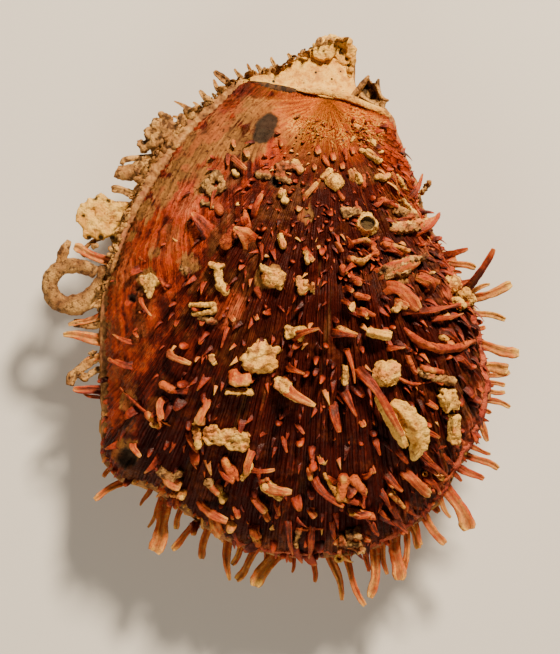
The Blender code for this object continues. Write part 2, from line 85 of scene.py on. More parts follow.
def smooth_path(points, steps, closed):
    """A smooth curve through points, with steps to each stretch. The ends of an open one are kept."""
    points = np.array(points, dtype=float)
    count = len(points)
    fine = []
    for i in range(count if closed else count - 1):
        picks = [i - 1, i, i + 1, i + 2]
        picks = [k % count for k in picks] if closed else [min(max(k, 0), count - 1) for k in picks]
        before, start, end, after = points[picks]
        for t in np.linspace(0, 1, steps, endpoint=False):
            square = (2 * before - 5 * start + 4 * end - after) * t**2
            cube = (3 * start - before - 3 * end + after) * t**3
            fine.append((2 * start + (end - before) * t + square + cube) / 2)
    return np.array(fine if closed else fine + [points[-1]])


RIM_STEPS = 24
rim_path = smooth_path(UPPER_RIM, RIM_STEPS, True)
_offset = rim_path - BODY_CENTRE
_angle = np.degrees(np.arctan2(_offset[:, 1], _offset[:, 0]))
_order = np.argsort(_angle)
RIM_ANGLES, RIM_DISTANCES = _angle[_order], np.hypot(*_offset[_order].T)


def rim_distance(degrees):
    return np.interp(degrees, RIM_ANGLES, RIM_DISTANCES, period=360)


def round_table(table, degrees):
    """Values read from (degrees, value) pairs round the shell, in straight steps between them."""
    angles, values = zip(*table)
    return np.interp(degrees, angles, values, period=360)


def seam_height(degrees):
    turn = np.radians(degrees)
    return COMMISSURE_HEIGHT + 0.7 * np.cos(2 * turn + 0.6) + 0.35 * np.cos(5 * turn)


def dome(share):
    """1 in the middle and 0 at the outline, round on top and steep at the edge."""
    return np.maximum(0.0, 1.0 - np.minimum(share, 1.0) ** 2.3) ** 0.78


def round_the_shell(x, y):
    """Degrees round the shell, and the share of the way from its middle to the outline."""
    dx, dy = x - BODY_CENTRE[0], y - BODY_CENTRE[1]
    degrees = np.degrees(np.arctan2(dy, dx))
    return degrees, np.hypot(dx, dy) / rim_distance(degrees)


def upper_height(x, y):
    degrees, share = round_the_shell(x, y)
    return seam_height(degrees) + SEAM_GAP / 2 + UPPER_DOME * dome(share)


def upper_normal(x, y, step=0.5):
    slope_x = (upper_height(x + step, y) - upper_height(x - step, y)) / (2 * step)
    slope_y = (upper_height(x, y + step) - upper_height(x, y - step)) / (2 * step)
    normal = np.stack([-slope_x, -slope_y, np.ones_like(slope_x)], axis=-1)
    return normal / np.linalg.norm(normal, axis=-1, keepdims=True)


print("outline points:", len(rim_path), "top of the dome in mm:", round(float(upper_height(1.0, 6.0)), 1))

# %% [markdown]
# ## Grain, meshes and attributes
#
# Nothing on a shell is smooth, so the pieces share one source of grain: a noise that is a plain formula of the
# place in space, and so gives the same bumps in every run. A second helper turns arrays of points into a mesh
# and writes what is known about each point, such as how worn or how crusted it is, as attributes. The
# materials read those attributes later, so colour and relief always agree.

# %% Noise and mesh helpers


def lattice(ix, iy, iz, seed):
    """A fixed number from 0 to 1 for each corner of a grid."""
    mixed = (ix * 374761393 + iy * 668265263 + iz * 1442695041 + seed * 1274126177) & 0xFFFFFFFF
    mixed = ((mixed ^ (mixed >> 13)) * 1103515245) & 0xFFFFFFFF
    return ((mixed ^ (mixed >> 16)) & 0xFFFF) / 65535.0


def grain(points, size, seed, octaves=1):
    """Smooth noise from -1 to 1, with bumps about size millimetres across."""
    points = np.asarray(points, dtype=float)
    total, reach = 0.0, 0.0
    for octave in range(octaves):
        scaled = points / size * 2**octave + 31.7 * octave
        low = np.floor(scaled).astype(np.int64)
        part = scaled - low
        part = part * part * (3 - 2 * part)
        value = 0.0
        for corner in np.ndindex(2, 2, 2):
            share = np.prod(np.where(corner, part, 1 - part), axis=-1)
            value = value + share * lattice(*np.moveaxis(low + corner, -1, 0), seed + octave)
        total = total + (2 * value - 1) * 0.5**octave
        reach += 0.5**octave
    return total / reach


def smoothstep(low, high, value):
    part = np.clip((value - low) / (high - low), 0, 1)
    return part * part * (3 - 2 * part)


def spots(points, table, ragged=0.35, seed=5, soft=0.45):
    """0 to 1: how far each point lies inside the ragged round spots (x, y, radius) in the table."""
    inside = np.zeros(points.shape[:-1])
    for x, y, radius in table:
        away = np.hypot(points[..., 0] - x, points[..., 1] - y) / radius
        away = away + ragged * grain(points, max(radius * 0.5, 1.2), seed, 2)
        inside = np.maximum(inside, 1 - smoothstep(1 - soft, 1 + soft * 0.5, away))
    return inside


def mesh_piece(name, points, faces, material, attributes=None):
    """An object from points in millimetres and lists of corners, smoothly shaded and facing outwards."""
    data = bpy.data.meshes.new(name)
    data.from_pydata((np.asarray(points) * MM).tolist(), [], [list(map(int, face)) for face in faces])
    for key, values in (attributes or {}).items():
        values = np.asarray(values, dtype=np.float32)
        kind = "FLOAT" if values.ndim == 1 else "FLOAT_VECTOR"
        layer = data.attributes.new(key, kind, "POINT")
        layer.data.foreach_set("value" if kind == "FLOAT" else "vector", values.ravel())
    data.polygons.foreach_set("use_smooth", [True] * len(data.polygons))
    data.materials.append(material)
    made = bpy.data.objects.new(name, data)
    bpy.context.scene.collection.objects.link(made)
    mesh = bmesh.new()
    mesh.from_mesh(data)
    bmesh.ops.recalc_face_normals(mesh, faces=mesh.faces)
    if mesh.calc_volume(signed=True) < 0:
        bmesh.ops.reverse_faces(mesh, faces=mesh.faces)
    mesh.to_mesh(data)
    mesh.free()
    return made


def ring_faces(rows, columns):
    """Faces of a closed tube of rows, each of columns points, numbered row by row."""
    row, column = np.meshgrid(np.arange(rows - 1), np.arange(columns), indexing="ij")
    after = (column + 1) % columns
    corners = [row * columns + column, row * columns + after, (row + 1) * columns + after, (row + 1) * columns + column]
    return np.stack(corners, axis=-1).reshape(-1, 4).tolist()


def cap_faces(loop, tip):
    """Triangles from a closed loop of points to one more."""
    return [(loop[i], loop[(i + 1) % len(loop)], tip) for i in range(len(loop))]


print("grain at three places:", grain(np.array([[0, 0, 0], [5, 5, 5], [9, 2, 7.0]]), 3.0, 1).round(2))

# %% [markdown]
# ## Nodes for the finishes
#
# A material here is a chain of small decisions: a noise picks between two colours, an attribute says where a
# stain lies, a wave draws the riblets. Three short helpers build such chains, so each finish below reads as a
# recipe. The grain's size is given in millimetres and turned into Blender's scale for object coordinates.

# %% Material helpers


def start_material(name, roughness):
    made = bpy.data.materials.new(name)
    made.use_nodes = True
    shader = made.node_tree.nodes["Principled BSDF"]
    shader.inputs["Roughness"].default_value = roughness
    shader.inputs["Specular IOR Level"].default_value = 0.2
    return made, made.node_tree, shader


def add(tree, kind, inputs=None, output=0, **settings):
    """Adds a node, fills or links its inputs, and gives back one output."""
    node = tree.nodes.new(kind)
    for key, value in settings.items():
        setattr(node, key, value)
    for key, value in (inputs or {}).items():
        if isinstance(value, bpy.types.NodeSocket):
            tree.links.new(value, node.inputs[key])
        else:
            node.inputs[key].default_value = value
    return node.outputs[output]


def place_in_object(tree):
    return add(tree, "ShaderNodeTexCoord", output=3)


def noise(tree, size, detail=3.0, rough=0.6, stretch=None, warp=0.0):
    """Noise from 0 to 1 on the object's own coordinates, with bumps about size millimetres across."""
    where = place_in_object(tree)
    if stretch:
        where = add(tree, "ShaderNodeMapping", {"Vector": where, "Scale": stretch})
    inputs = {"Vector": where, "Scale": 1000.0 / size, "Detail": detail, "Roughness": rough, "Distortion": warp}
    return add(tree, "ShaderNodeTexNoise", inputs)


def attribute(tree, name, output=2):
    return add(tree, "ShaderNodeAttribute", output=output, attribute_name=name)


def span(tree, value, low, high, to_low=0.0, to_high=1.0):
    inputs = {"Value": value, "From Min": low, "From Max": high, "To Min": to_low, "To Max": to_high}
    return add(tree, "ShaderNodeMapRange", inputs, interpolation_type="SMOOTHSTEP")


def maths(tree, operation, first, second=0.0):
    return add(tree, "ShaderNodeMath", {0: first, 1: second}, operation=operation)


def blend(tree, share, first, second):
    return add(tree, "ShaderNodeMix", {0: share, 2: first, 3: second}, data_type="FLOAT")


def colour(shade):
    return (*shade, 1.0) if isinstance(shade, tuple) else shade


def mix(tree, share, first, second, blend="MIX"):
    inputs = {0: share, 6: colour(first), 7: colour(second)}
    return add(tree, "ShaderNodeMix", inputs, output=2, data_type="RGBA", blend_type=blend)


def ramp(tree, value, stops):
    """A colour from value, through (position, colour) stops."""
    node = tree.nodes.new("ShaderNodeValToRGB")
    tree.links.new(value, node.inputs[0])
    elements = node.color_ramp.elements
    while len(elements) < len(stops):
        elements.new(0.5)
    for element, (position, shade) in zip(elements, stops):
        element.position = position
        element.color = colour(shade)
    return node.outputs[0]


def bump(tree, height, depth, under=None):
    """Small relief, depth in millimetres, on top of the relief under it."""
    inputs = {"Height": height, "Distance": depth * MM, "Strength": 1.0}
    if under is not None:
        inputs["Normal"] = under
    return add(tree, "ShaderNodeBump", inputs)


# Shades of the shell, as light reflects from them
MAROON = (0.034, 0.0036, 0.0018)
DEEP_RED = (0.105, 0.011, 0.005)
BRICK = (0.30, 0.032, 0.008)
ORANGE_RED = (0.40, 0.056, 0.009)
ORANGE = (0.76, 0.22, 0.040)
SALMON = (0.68, 0.20, 0.070)
CREAM = (0.62, 0.29, 0.045)
PALE_CREAM = (0.80, 0.47, 0.10)
TAN = (0.42, 0.19, 0.05)
OLIVE = (0.19, 0.095, 0.028)
UMBER = (0.060, 0.022, 0.008)
# The next, near-black shade is painted shade: it fills the inside of holes, pits, mouths and the hinge crevice.
PAINTED_SHADE_BLACK = (0.020, 0.013, 0.008)

print("shades named:", 12)

# %% [markdown]
# ## The finish of the red valve
#
# The red valve is deep maroon between its riblets, partly as painted shade, and brick red along their crests,
# brightest where it is clean: along the left edge and on the upper right. Tan and olive crust covers the
# shoulder, and an orange fan spreads from the beak. The masks for those areas come with the mesh, with one more
# that darkens the rib valleys as painted shade. The riblets are a wave on the mesh's own fan coordinates, which
# run from the beak, so they spread with the growth of the shell as real ones do.

# %% Red valve material


def streaks(tree, place, across, along, detail=4.0):
    """Noise drawn out along the growth of the shell: place holds the riblet's number and the way from the beak."""
    scaled = add(tree, "ShaderNodeVectorMath", {0: place, 1: (across, along, 1.0)}, operation="MULTIPLY")
    return add(tree, "ShaderNodeTexNoise", {"Vector": scaled, "Scale": 1.0, "Detail": detail, "Roughness": 0.62})


def red_valve_material():
    made, tree, shader = start_material("red_valve", 0.5)
    shader.inputs["Specular IOR Level"].default_value = 0.07
    broad, middle, fine = noise(tree, 5.0), noise(tree, 1.4), noise(tree, 0.45, 2.0)
    clean, crust, stain_and_pit_shade = attribute(tree, "clean"), attribute(tree, "crust"), attribute(tree, "stain_and_pit_shade")
    fan, rosy, depth = attribute(tree, "beak_fan"), attribute(tree, "rosy"), attribute(tree, "shade")
    place = attribute(tree, "fan_place", 1)
    long, short = streaks(tree, place, 0.28, 3.2), streaks(tree, place, 0.9, 12.0)
    riblet = add(tree, "ShaderNodeSeparateXYZ", {0: place})
    worn = span(tree, riblet, 112, 146)
    bands = streaks(tree, place, 0.05, 34.0)
    long, short = blend(tree, worn, long, bands), blend(tree, maths(tree, "MULTIPLY", worn, 0.8), short, bands)
    wave = maths(tree, "MULTIPLY", riblet, 2 * math.pi)
    wave = maths(tree, "SINE", maths(tree, "ADD", wave, maths(tree, "MULTIPLY", middle, 3.0)))
    crest = span(tree, maths(tree, "ADD", wave, span(tree, short, 0.3, 0.7, -0.8, 0.8)), -0.7, 1.2)
    crest = blend(tree, maths(tree, "MULTIPLY", worn, 0.8), crest, span(tree, bands, 0.35, 0.65))
    # Partly painted shade: the tone drops between the riblets, where the crest wave is low.
    tone = maths(tree, "ADD", maths(tree, "MULTIPLY", clean, 0.44), maths(tree, "MULTIPLY", crest, 0.15))
    tone = maths(tree, "ADD", tone, span(tree, broad, 0.3, 0.7, -0.06, 0.10))
    tone = maths(tree, "ADD", tone, span(tree, long, 0.32, 0.68, -0.11, 0.19))
    tone = maths(tree, "ADD", tone, span(tree, middle, 0.32, 0.68, -0.12, 0.12))
    tone = maths(tree, "ADD", tone, span(tree, short, 0.32, 0.68, -0.07, 0.12))
    tone = maths(tree, "SUBTRACT", tone, maths(tree, "MULTIPLY", depth, 0.27))
    red = ramp(tree, tone, [(0.0, MAROON), (0.25, DEEP_RED), (0.54, BRICK), (0.86, ORANGE_RED), (1.0, (0.46, 0.10, 0.012))])
    pink = ramp(tree, short, [(0.35, BRICK), (0.5, (0.48, 0.08, 0.03)), (0.66, (0.62, 0.18, 0.07))])
    red = mix(tree, maths(tree, "MULTIPLY", rosy, span(tree, middle, 0.3, 0.62)), red, pink)
    film = maths(tree, "MULTIPLY", span(tree, noise(tree, 7.0, 5.0), 0.47, 0.60), maths(tree, "ADD", maths(tree, "MULTIPLY", depth, 0.3), 0.7))
    haze = mix(tree, span(tree, middle, 0.4, 0.65), (0.040, 0.006, 0.0025), (0.13, 0.026, 0.008))
    haze = mix(tree, depth, ramp(tree, middle, [(0.38, (0.075, 0.022, 0.008)), (0.62, (0.26, 0.105, 0.034))]), haze)
    red = mix(tree, maths(tree, "MULTIPLY", film, 0.62), red, haze)
    # Painted shade: the valleys between the ribs are darkened almost to black.
    red = mix(tree, maths(tree, "MULTIPLY", attribute(tree, "painted_valley_shade"), 0.9), red, (0.016, 0.002, 0.001))
    sandy = maths(tree, "ADD", maths(tree, "MULTIPLY", long, 0.4), maths(tree, "MULTIPLY", broad, 0.3))
    sandy = maths(tree, "ADD", sandy, maths(tree, "MULTIPLY", middle, 0.3))
    sand = [(0.38, (0.085, 0.022, 0.007)), (0.45, (0.15, 0.066, 0.020)), (0.51, (0.21, 0.092, 0.025)), (0.57, (0.30, 0.13, 0.034)), (0.68, (0.40, 0.18, 0.05))]
    sand = ramp(tree, sandy, sand)
    sand = mix(tree, span(tree, noise(tree, 6.0, 2.0), 0.52, 0.62, 0.0, 0.6), sand, (0.33, 0.075, 0.022))
    ragged = maths(tree, "ADD", crust, span(tree, long, 0.3, 0.7, -0.45, 0.45))
    shade = mix(tree, span(tree, ragged, 0.30, 0.80, 0.0, 0.90), red, sand)
    glow = [(0.34, (0.20, 0.028, 0.005)), (0.45, (0.42, 0.075, 0.007)), (0.57, (0.62, 0.17, 0.013)), (0.72, (0.78, 0.34, 0.045))]
    pore = maths(tree, "MULTIPLY", span(tree, ragged, 0.2, 0.7), span(tree, noise(tree, 0.7, 2.0), 0.42, 0.34))
    shade = mix(tree, pore, shade, (0.07, 0.022, 0.008))
    orange = ramp(tree, streaks(tree, place, 0.30, 2.0), glow)
    shade = mix(tree, maths(tree, "MULTIPLY", fan, 0.95), shade, orange)
    speck = maths(tree, "MULTIPLY", attribute(tree, "speckle"), span(tree, fine, 0.50, 0.58))
    shade = mix(tree, maths(tree, "MULTIPLY", speck, 0.9), shade, CREAM)
    shade = mix(tree, span(tree, fine, 0.40, 0.27, 0.0, 0.55), shade, MAROON)
    # Near-black grey on the stain below the hinge, and painted shade inside the pits.
    stain_and_pit_shade = maths(tree, "ADD", stain_and_pit_shade, span(tree, short, 0.3, 0.7, -0.12, 0.12))
    shade = mix(tree, span(tree, stain_and_pit_shade, 0.06, 0.85, 0.0, 0.95), shade, ramp(tree, middle, [(0.4, (0.014, 0.010, 0.007)), (0.8, (0.036, 0.026, 0.018))]))
    tree.links.new(shade, shader.inputs["Base Color"])
    tree.links.new(span(tree, ragged, 0.3, 0.8, 0.45, 0.8), shader.inputs["Roughness"])
    bare = maths(tree, "SUBTRACT", 1.0, maths(tree, "MULTIPLY", crust, 0.7))
    relief = bump(tree, maths(tree, "MULTIPLY", crest, bare), 0.20)
    relief = bump(tree, maths(tree, "MULTIPLY", short, bare), 0.26, relief)
    relief = bump(tree, middle, 0.22, relief)
    relief = bump(tree, fine, 0.12, relief)
    tree.links.new(relief, shader.inputs["Normal"])
    return made


red_valve = red_valve_material()
print("nodes in the red valve's material:", len(red_valve.node_tree.nodes))

# %% [markdown]
# ## The upper valve
#
# Ribs, riblets and streaks all start at the beak, so the upper valve is not a round grid but a fan: columns of
# points run from the beak to the outline, four to each riblet, and rows cross them. The dome formula gives the
# height, and the relief is pushed out along the dome's own normal: ribs, riblets, growth steps, crust and
# pits. A wall closes the fan at the rim, and a plain underside follows the cavity, which no one sees.

# %% Where the upper valve is clean, crusted, stained or pitted, in millimetres
CLEAN_SPOTS = [
    (20.5, 34.0, 6.0), (22.5, 27.0, 5.0), (26.0, 19.0, 3.5), (30.5, 11.0, 3.5), (16.0, 38.0, 4.0),
    (-35.5, 8.0, 4.0), (-34.5, 2.0, 5.0), (-35.0, -5.0, 4.6), (-35.5, -12.0, 4.0), (-36.0, -19.0, 3.0),
    (-30.5, 11.5, 4.5), (-21.0, 23.5, 5.5), (-20.0, 17.5, 4.0), (-26.0, 14.0, 5.0), (-13.0, 43.0, 2.5), (-16.0, 33.0, 4.0), (-5.0, 33.0, 4.0), (12.0, 38.0, 6.0), (-30.0, 2.0, 4.0),
    (-31.0, -6.0, 3.5), (-25.0, 8.0, 3.5), (-33.0, 16.0, 3.0), (-28.5, 20.5, 3.0), (-12.0, 4.0, 3.0),
]
CRUST_SPOTS = [
    (-10.0, 42.0, 3.0), (-14.5, 38.5, 3.8), (-18.5, 35.0, 3.8), (-22.0, 31.0, 3.6), (-25.8, 26.6, 3.4),
    (-29.4, 22.5, 2.6), (-32.6, 17.6, 1.4), (-13.0, 36.0, 4.2), (-8.5, 34.8, 3.2),
    (-4.0, 40.8, 4.0), (-1.5, 37.5, 3.2), (-17.5, 28.0, 3.0), (-7.0, 41.0, 4.0), (-27.0, 14.0, 1.6),
    (-20.5, 12.0, 2.4), (-36.9, 9.0, 1.6), (-37.2, 0.0, 1.0), (21.6, 20.8, 3.4), (20.6, 10.6, 2.6),
    (-29.0, 9.0, 2.6), (-33.4, -25.0, 3.2), (-33.0, -15.0, 2.4), (-6.0, 9.0, 2.0), (2.0, 21.0, 1.8),
]
SPECKLE_SPOTS = [(4.0, 38.5, 3.4), (0.5, 39.5, 2.4), (12.0, 40.0, 3.0), (14.5, 38.0, 3.2), (8.6, 36.6, 2.6)]
# A real grey stain below the hinge, and three spots on pits, where the dark is painted shade.
STAIN_AND_PIT_SHADE_SPOTS = [(-6.6, 36.8, 1.9), (-5.9, 38.3, 2.3), (-5.2, 39.8, 2.1), (-32.0, 5.2, 1.0), (-3.4, 27.8, 1.5), (-33.2, -26.2, 2.4)]
ROSY_SPOTS = [
    (37.5, -14.0, 2.6), (36.0, -20.0, 2.8), (33.4, -26.0, 3.0), (29.5, -32.5, 3.0), (23.0, -38.0, 3.0),
    (14.0, -43.6, 2.4), (4.0, -44.8, 2.0), (-6.0, -44.3, 2.0), (32.0, 8.4, 4.0), (27.4, 16.6, 4.0), (-21.0, 24.0, 4.4),
    (24.4, 23.0, 2.6), (-13.0, 3.0, 3.4),
]
DARK_SPOTS = [(10.0, -8.0, 27.0), (4.0, 10.0, 17.0), (-14.0, -24.0, 20.0), (10.0, -26.0, 26.0), (16.0, 4.0, 18.0)]
PITS = [(-33.2, -26.2, 2.0, 2.0), (-32.0, 5.0, 0.9, 1.0), (-3.4, 27.8, 1.3, 1.2), (-30.4, 7.4, 0.9, 0.9)]

RIBLETS = 190
POINTS_PER_RIBLET = 4
FAN_ROWS = 112
MAIN_RIBS = 27


def fan_columns():
    """Places along the outline, from the hinge's right end clockwise to its left, evenly spaced."""
    last = len(UPPER_RIM)
    arc = np.concatenate([rim_path[(last - 1) * RIM_STEPS:], rim_path[:(last - 3) * RIM_STEPS + 1]])
    run = np.concatenate([[0], np.cumsum(np.hypot(*np.diff(arc, axis=0).T))])
    even = np.linspace(0, run[-1], RIBLETS * POINTS_PER_RIBLET + 1)
    return np.stack([np.interp(even, run, arc[:, k]) for k in (0, 1)], axis=-1)


def upper_relief(points, riblet, reach, crust):
    """How far the upper valve's surface stands out from the plain dome, in millimetres, and its valleys, kept for
    painted shade.
    """
    edge = smoothstep(1.0, 0.93, reach)
    rough = grain(points, 2.6, 4, 2)
    main = 0.5 + 0.5 * np.cos(riblet / RIBLETS * MAIN_RIBS * 2 * math.pi + 1.1 * grain(points, 8.0, 3))
    worn = smoothstep(112, 146, riblet)
    bare = (1 - 0.75 * crust) * (1 - 0.6 * worn)
    relief = 0.95 * bare * (main**2 - 0.4) * smoothstep(0.12, 0.45, reach)
    small = 0.5 + 0.5 * np.cos(2 * math.pi * riblet + 0.8 * rough)
    relief += 0.26 * bare * (small - 0.5) * (1 + 0.8 * rough) * smoothstep(0.2, 0.6, reach)
    # The valleys between ribs, for the painted shade that the material lays in them.
    painted_valley_shade = (1 - main) ** 2 * (0.6 + 0.4 * (1 - small)) * bare
    season = reach * 13 + 0.6 * grain(points, 7.0, 7, 2) + 0.25 * main
    relief += 0.5 * bare * ((season % 1.0) ** 3) * smoothstep(0.15, 0.4, reach)
    fine_season = reach * 46 + 1.2 * grain(points, 4.0, 8, 2) + 0.5 * main
    relief += 0.14 * bare * ((fine_season % 1.0) ** 2) * main
    relief += 0.30 * worn * (1 - 0.6 * crust) * (((reach * 30 + 0.9 * grain(points, 5.0, 9, 2)) % 1.0) ** 2 - 0.3)
    relief += 0.85 * grain(points, 13.0, 11, 2) + 0.40 * grain(points, 3.2, 12, 3) + 0.26 * bare * grain(points, 1.3, 13, 2)
    return relief * (0.25 + 0.75 * edge), painted_valley_shade * smoothstep(0.3, 0.6, reach)


def make_upper_valve():
    columns = fan_columns()
    riblet = np.arange(len(columns)) / POINTS_PER_RIBLET
    even = np.linspace(0, 1, FAN_ROWS + 1)[1:]
    reach = 0.35 * even + 0.65 * (1 - np.cos(math.pi * even)) / 2
    grid = BEAK + (columns[None] - BEAK) * reach[:, None, None]
    x, y = grid[..., 0], grid[..., 1]
    points = np.stack([x, y, upper_height(x, y)], axis=-1)
    reach_all = np.repeat(reach[:, None], len(columns), axis=1)
    riblet_all = np.repeat(riblet[None], len(reach), axis=0)
    crust = spots(points, CRUST_SPOTS)
    clean = spots(points, CLEAN_SPOTS, 0.3, 9)
    out, painted_valley_shade = upper_relief(points, riblet_all, reach_all, crust)
    out += crust * (0.14 * grain(points, 1.7, 21, 2) + 0.15)
    for px, py, radius, depth in PITS:
        away = np.hypot(x - px, y - py) / radius
        out -= depth * (1 - smoothstep(0.5, 1.15, away + 0.2 * grain(points, 1.0, 22)))
    hinge = smoothstep(0.0, 2.5, np.hypot(x - BEAK[0], y - BEAK[1]))
    out *= 0.2 + 0.8 * hinge
    normal = upper_normal(x, y)
    edge_lift = 1.0 * reach_all**14
    surface = points + normal * out[..., None]
    surface[..., 2] = np.maximum(surface[..., 2], points[..., 2] * 0 + COMMISSURE_HEIGHT - 1.0)
    surface[..., 2] += edge_lift
    crimp = (0.2 * np.cos(2 * math.pi * riblet_all) + 0.5 * grain(points, 1.9, 24, 2)) * reach_all**20
    away_from_middle = grid - BODY_CENTRE
    away_from_middle /= np.linalg.norm(away_from_middle, axis=-1, keepdims=True)
    surface[..., :2] += away_from_middle * (crimp - 0.3 * reach_all**30)[..., None]

    count = len(columns)
    rows = len(reach)
    everything = [np.array([[*BEAK, upper_height(*BEAK)]]), surface.reshape(-1, 3)]
    first = 1
    faces = [(0, first + c, first + c + 1) for c in range(count - 1)]
    for r in range(rows - 1):
        a = first + r * count
        faces += [(a + c, a + count + c, a + count + c + 1, a + c + 1) for c in range(count - 1)]
    # The border: down the first column, along the rim, back up the last column to the beak
    right = [first + r * count for r in range(rows)]
    rim = [first + (rows - 1) * count + c for c in range(1, count - 1)]
    left = [first + r * count + count - 1 for r in range(rows - 1, -1, -1)]
    border = [0] + right + rim + left
    flat = np.concatenate(everything)
    edge = flat[border]
    start = len(flat)
    loops = []
    for share, rise in ((0.995, 0.0), (0.89, 0.0), (0.6, 0.62), (0.25, 0.93)):
        ring = BODY_CENTRE + (edge[:, :2] - BODY_CENTRE) * share
        degrees, _ = round_the_shell(ring[:, 0], ring[:, 1])
        height = seam_height(degrees) + SEAM_GAP / 2 + (UPPER_DOME - 3.6) * rise
        loops.append(np.column_stack([ring, height]))
    top = np.array([[*BODY_CENTRE, COMMISSURE_HEIGHT + UPPER_DOME - 3.4]])
    flat = np.concatenate([flat] + loops + [top])
    loop_numbers = [border] + [list(range(start + k * len(border), start + (k + 1) * len(border))) for k in range(4)]
    for outer, inner in zip(loop_numbers, loop_numbers[1:]):
        n = len(outer)
        faces += [(outer[i], outer[(i + 1) % n], inner[(i + 1) % n], inner[i]) for i in range(n)]
    faces += cap_faces(loop_numbers[-1], len(flat) - 1)

    def known(values, beak_value):
        return np.concatenate([[beak_value], values.ravel(), np.full(len(flat) - start, float(beak_value))])

    fan = np.exp(-((np.hypot(x - 6.4, y - 44.6) / 10.5) ** 3)) * smoothstep(-0.5, 0.0, grain(points, 2.4, 33) + 0.45)
    place = np.stack([riblet_all, reach_all, np.zeros_like(reach_all)], axis=-1)
    place = np.concatenate([[[0, 0, 0]], place.reshape(-1, 3), np.zeros((len(flat) - start, 3))])
    attributes = {
        "clean": known(clean, 0.5),
        "crust": known(crust, 0.0),
        "beak_fan": known(fan, 1.0),
        "stain_and_pit_shade": known(spots(points, STAIN_AND_PIT_SHADE_SPOTS, 0.2, 14), 0.0),
        "rosy": known(spots(points, ROSY_SPOTS, 0.4, 15), 0.0),
        "speckle": known(spots(points, SPECKLE_SPOTS, 0.3, 16), 0.0),
        "shade": known(spots(points, DARK_SPOTS, 0.25, 17, 0.5), 0.0),
        "painted_valley_shade": known(painted_valley_shade, 0.0),
        "fan_place": place,
    }
    made = mesh_piece("red_valve_skin", flat, faces, red_valve, attributes)
    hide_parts("upper_valve")
    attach(made, "root")
    return made


upper_valve = make_upper_valve()
print("faces of the upper valve:", len(upper_valve.data.polygons))

# %% [markdown]
# ## The finishes of the pale shell and of the growths
#
# The lower valve and everything that other animals built is bare lime: cream where it is fresh, tan and brown
# where algae and dirt sit in its pits. The lower valve has a recipe of its own, with a clean, bright hinge area
# and a sandy band at the seam. One recipe serves all the growths, with the grain's size, the share of dirt and
# the tint as its values, so that the worm tube is brown and granular.

# %% Pale shell, crust and tube materials


def lime_material(name, light, shade, dirt, pit_size=0.8, dirt_share=0.45, depth=0.35, blush=BRICK):
    """Chalky lime: light and shade mottle it, a blush tints parts of it, dirt gathers in pits, and it darkens towards
    its foot.
    """
    made, tree, shader = start_material(name, 0.8)
    broad, middle, fine = noise(tree, 4.0), noise(tree, pit_size * 2, 4.0), noise(tree, pit_size * 0.5, 3.0)
    tone = mix(tree, span(tree, broad, 0.38, 0.62), light, shade)
    tone = mix(tree, span(tree, middle, 0.52, 0.70, 0.0, 0.7), tone, light)
    film = span(tree, noise(tree, 2.6, 5.0, 0.6, warp=0.6), 0.50, 0.66, 0.0, 0.6)
    tone = mix(tree, film, tone, mix(tree, 0.45, dirt, shade))
    tone = mix(tree, maths(tree, "MULTIPLY", attribute(tree, "blush"), 0.75), tone, blush)
    hollow = span(tree, middle, dirt_share + 0.03, dirt_share - 0.09)
    tone = mix(tree, maths(tree, "MULTIPLY", hollow, 0.85), tone, dirt)
    tone = mix(tree, span(tree, fine, 0.45, 0.30, 0.0, 0.75), tone, dirt)
    # Darker, towards maroon, near the foot, where a piece meets the shell.
    tone = mix(tree, maths(tree, "MULTIPLY", attribute(tree, "foot"), 0.8), tone, mix(tree, middle, MAROON, dirt))
    # Painted shade: near black inside barnacle mouths, bored holes and pits.
    tone = mix(tree, maths(tree, "MULTIPLY", attribute(tree, "mouth"), 0.92), tone, PAINTED_SHADE_BLACK)
    tree.links.new(tone, shader.inputs["Base Color"])
    relief = bump(tree, middle, depth)
    tree.links.new(bump(tree, fine, depth * 0.6, relief), shader.inputs["Normal"])
    return made


# Holes that worms bored into the flat hinge area, in millimetres seen from above. Each is painted as a near-black disc:
# painted shade inside the hole.
HINGE_HOLES = [(4.2, 50.8, 0.26), (-4.3, 48.9, 0.30), (7.4, 49.4, 0.24), (1.8, 48.6, 0.14), (6.0, 52.6, 0.15), (9.2, 51.0, 0.18)]


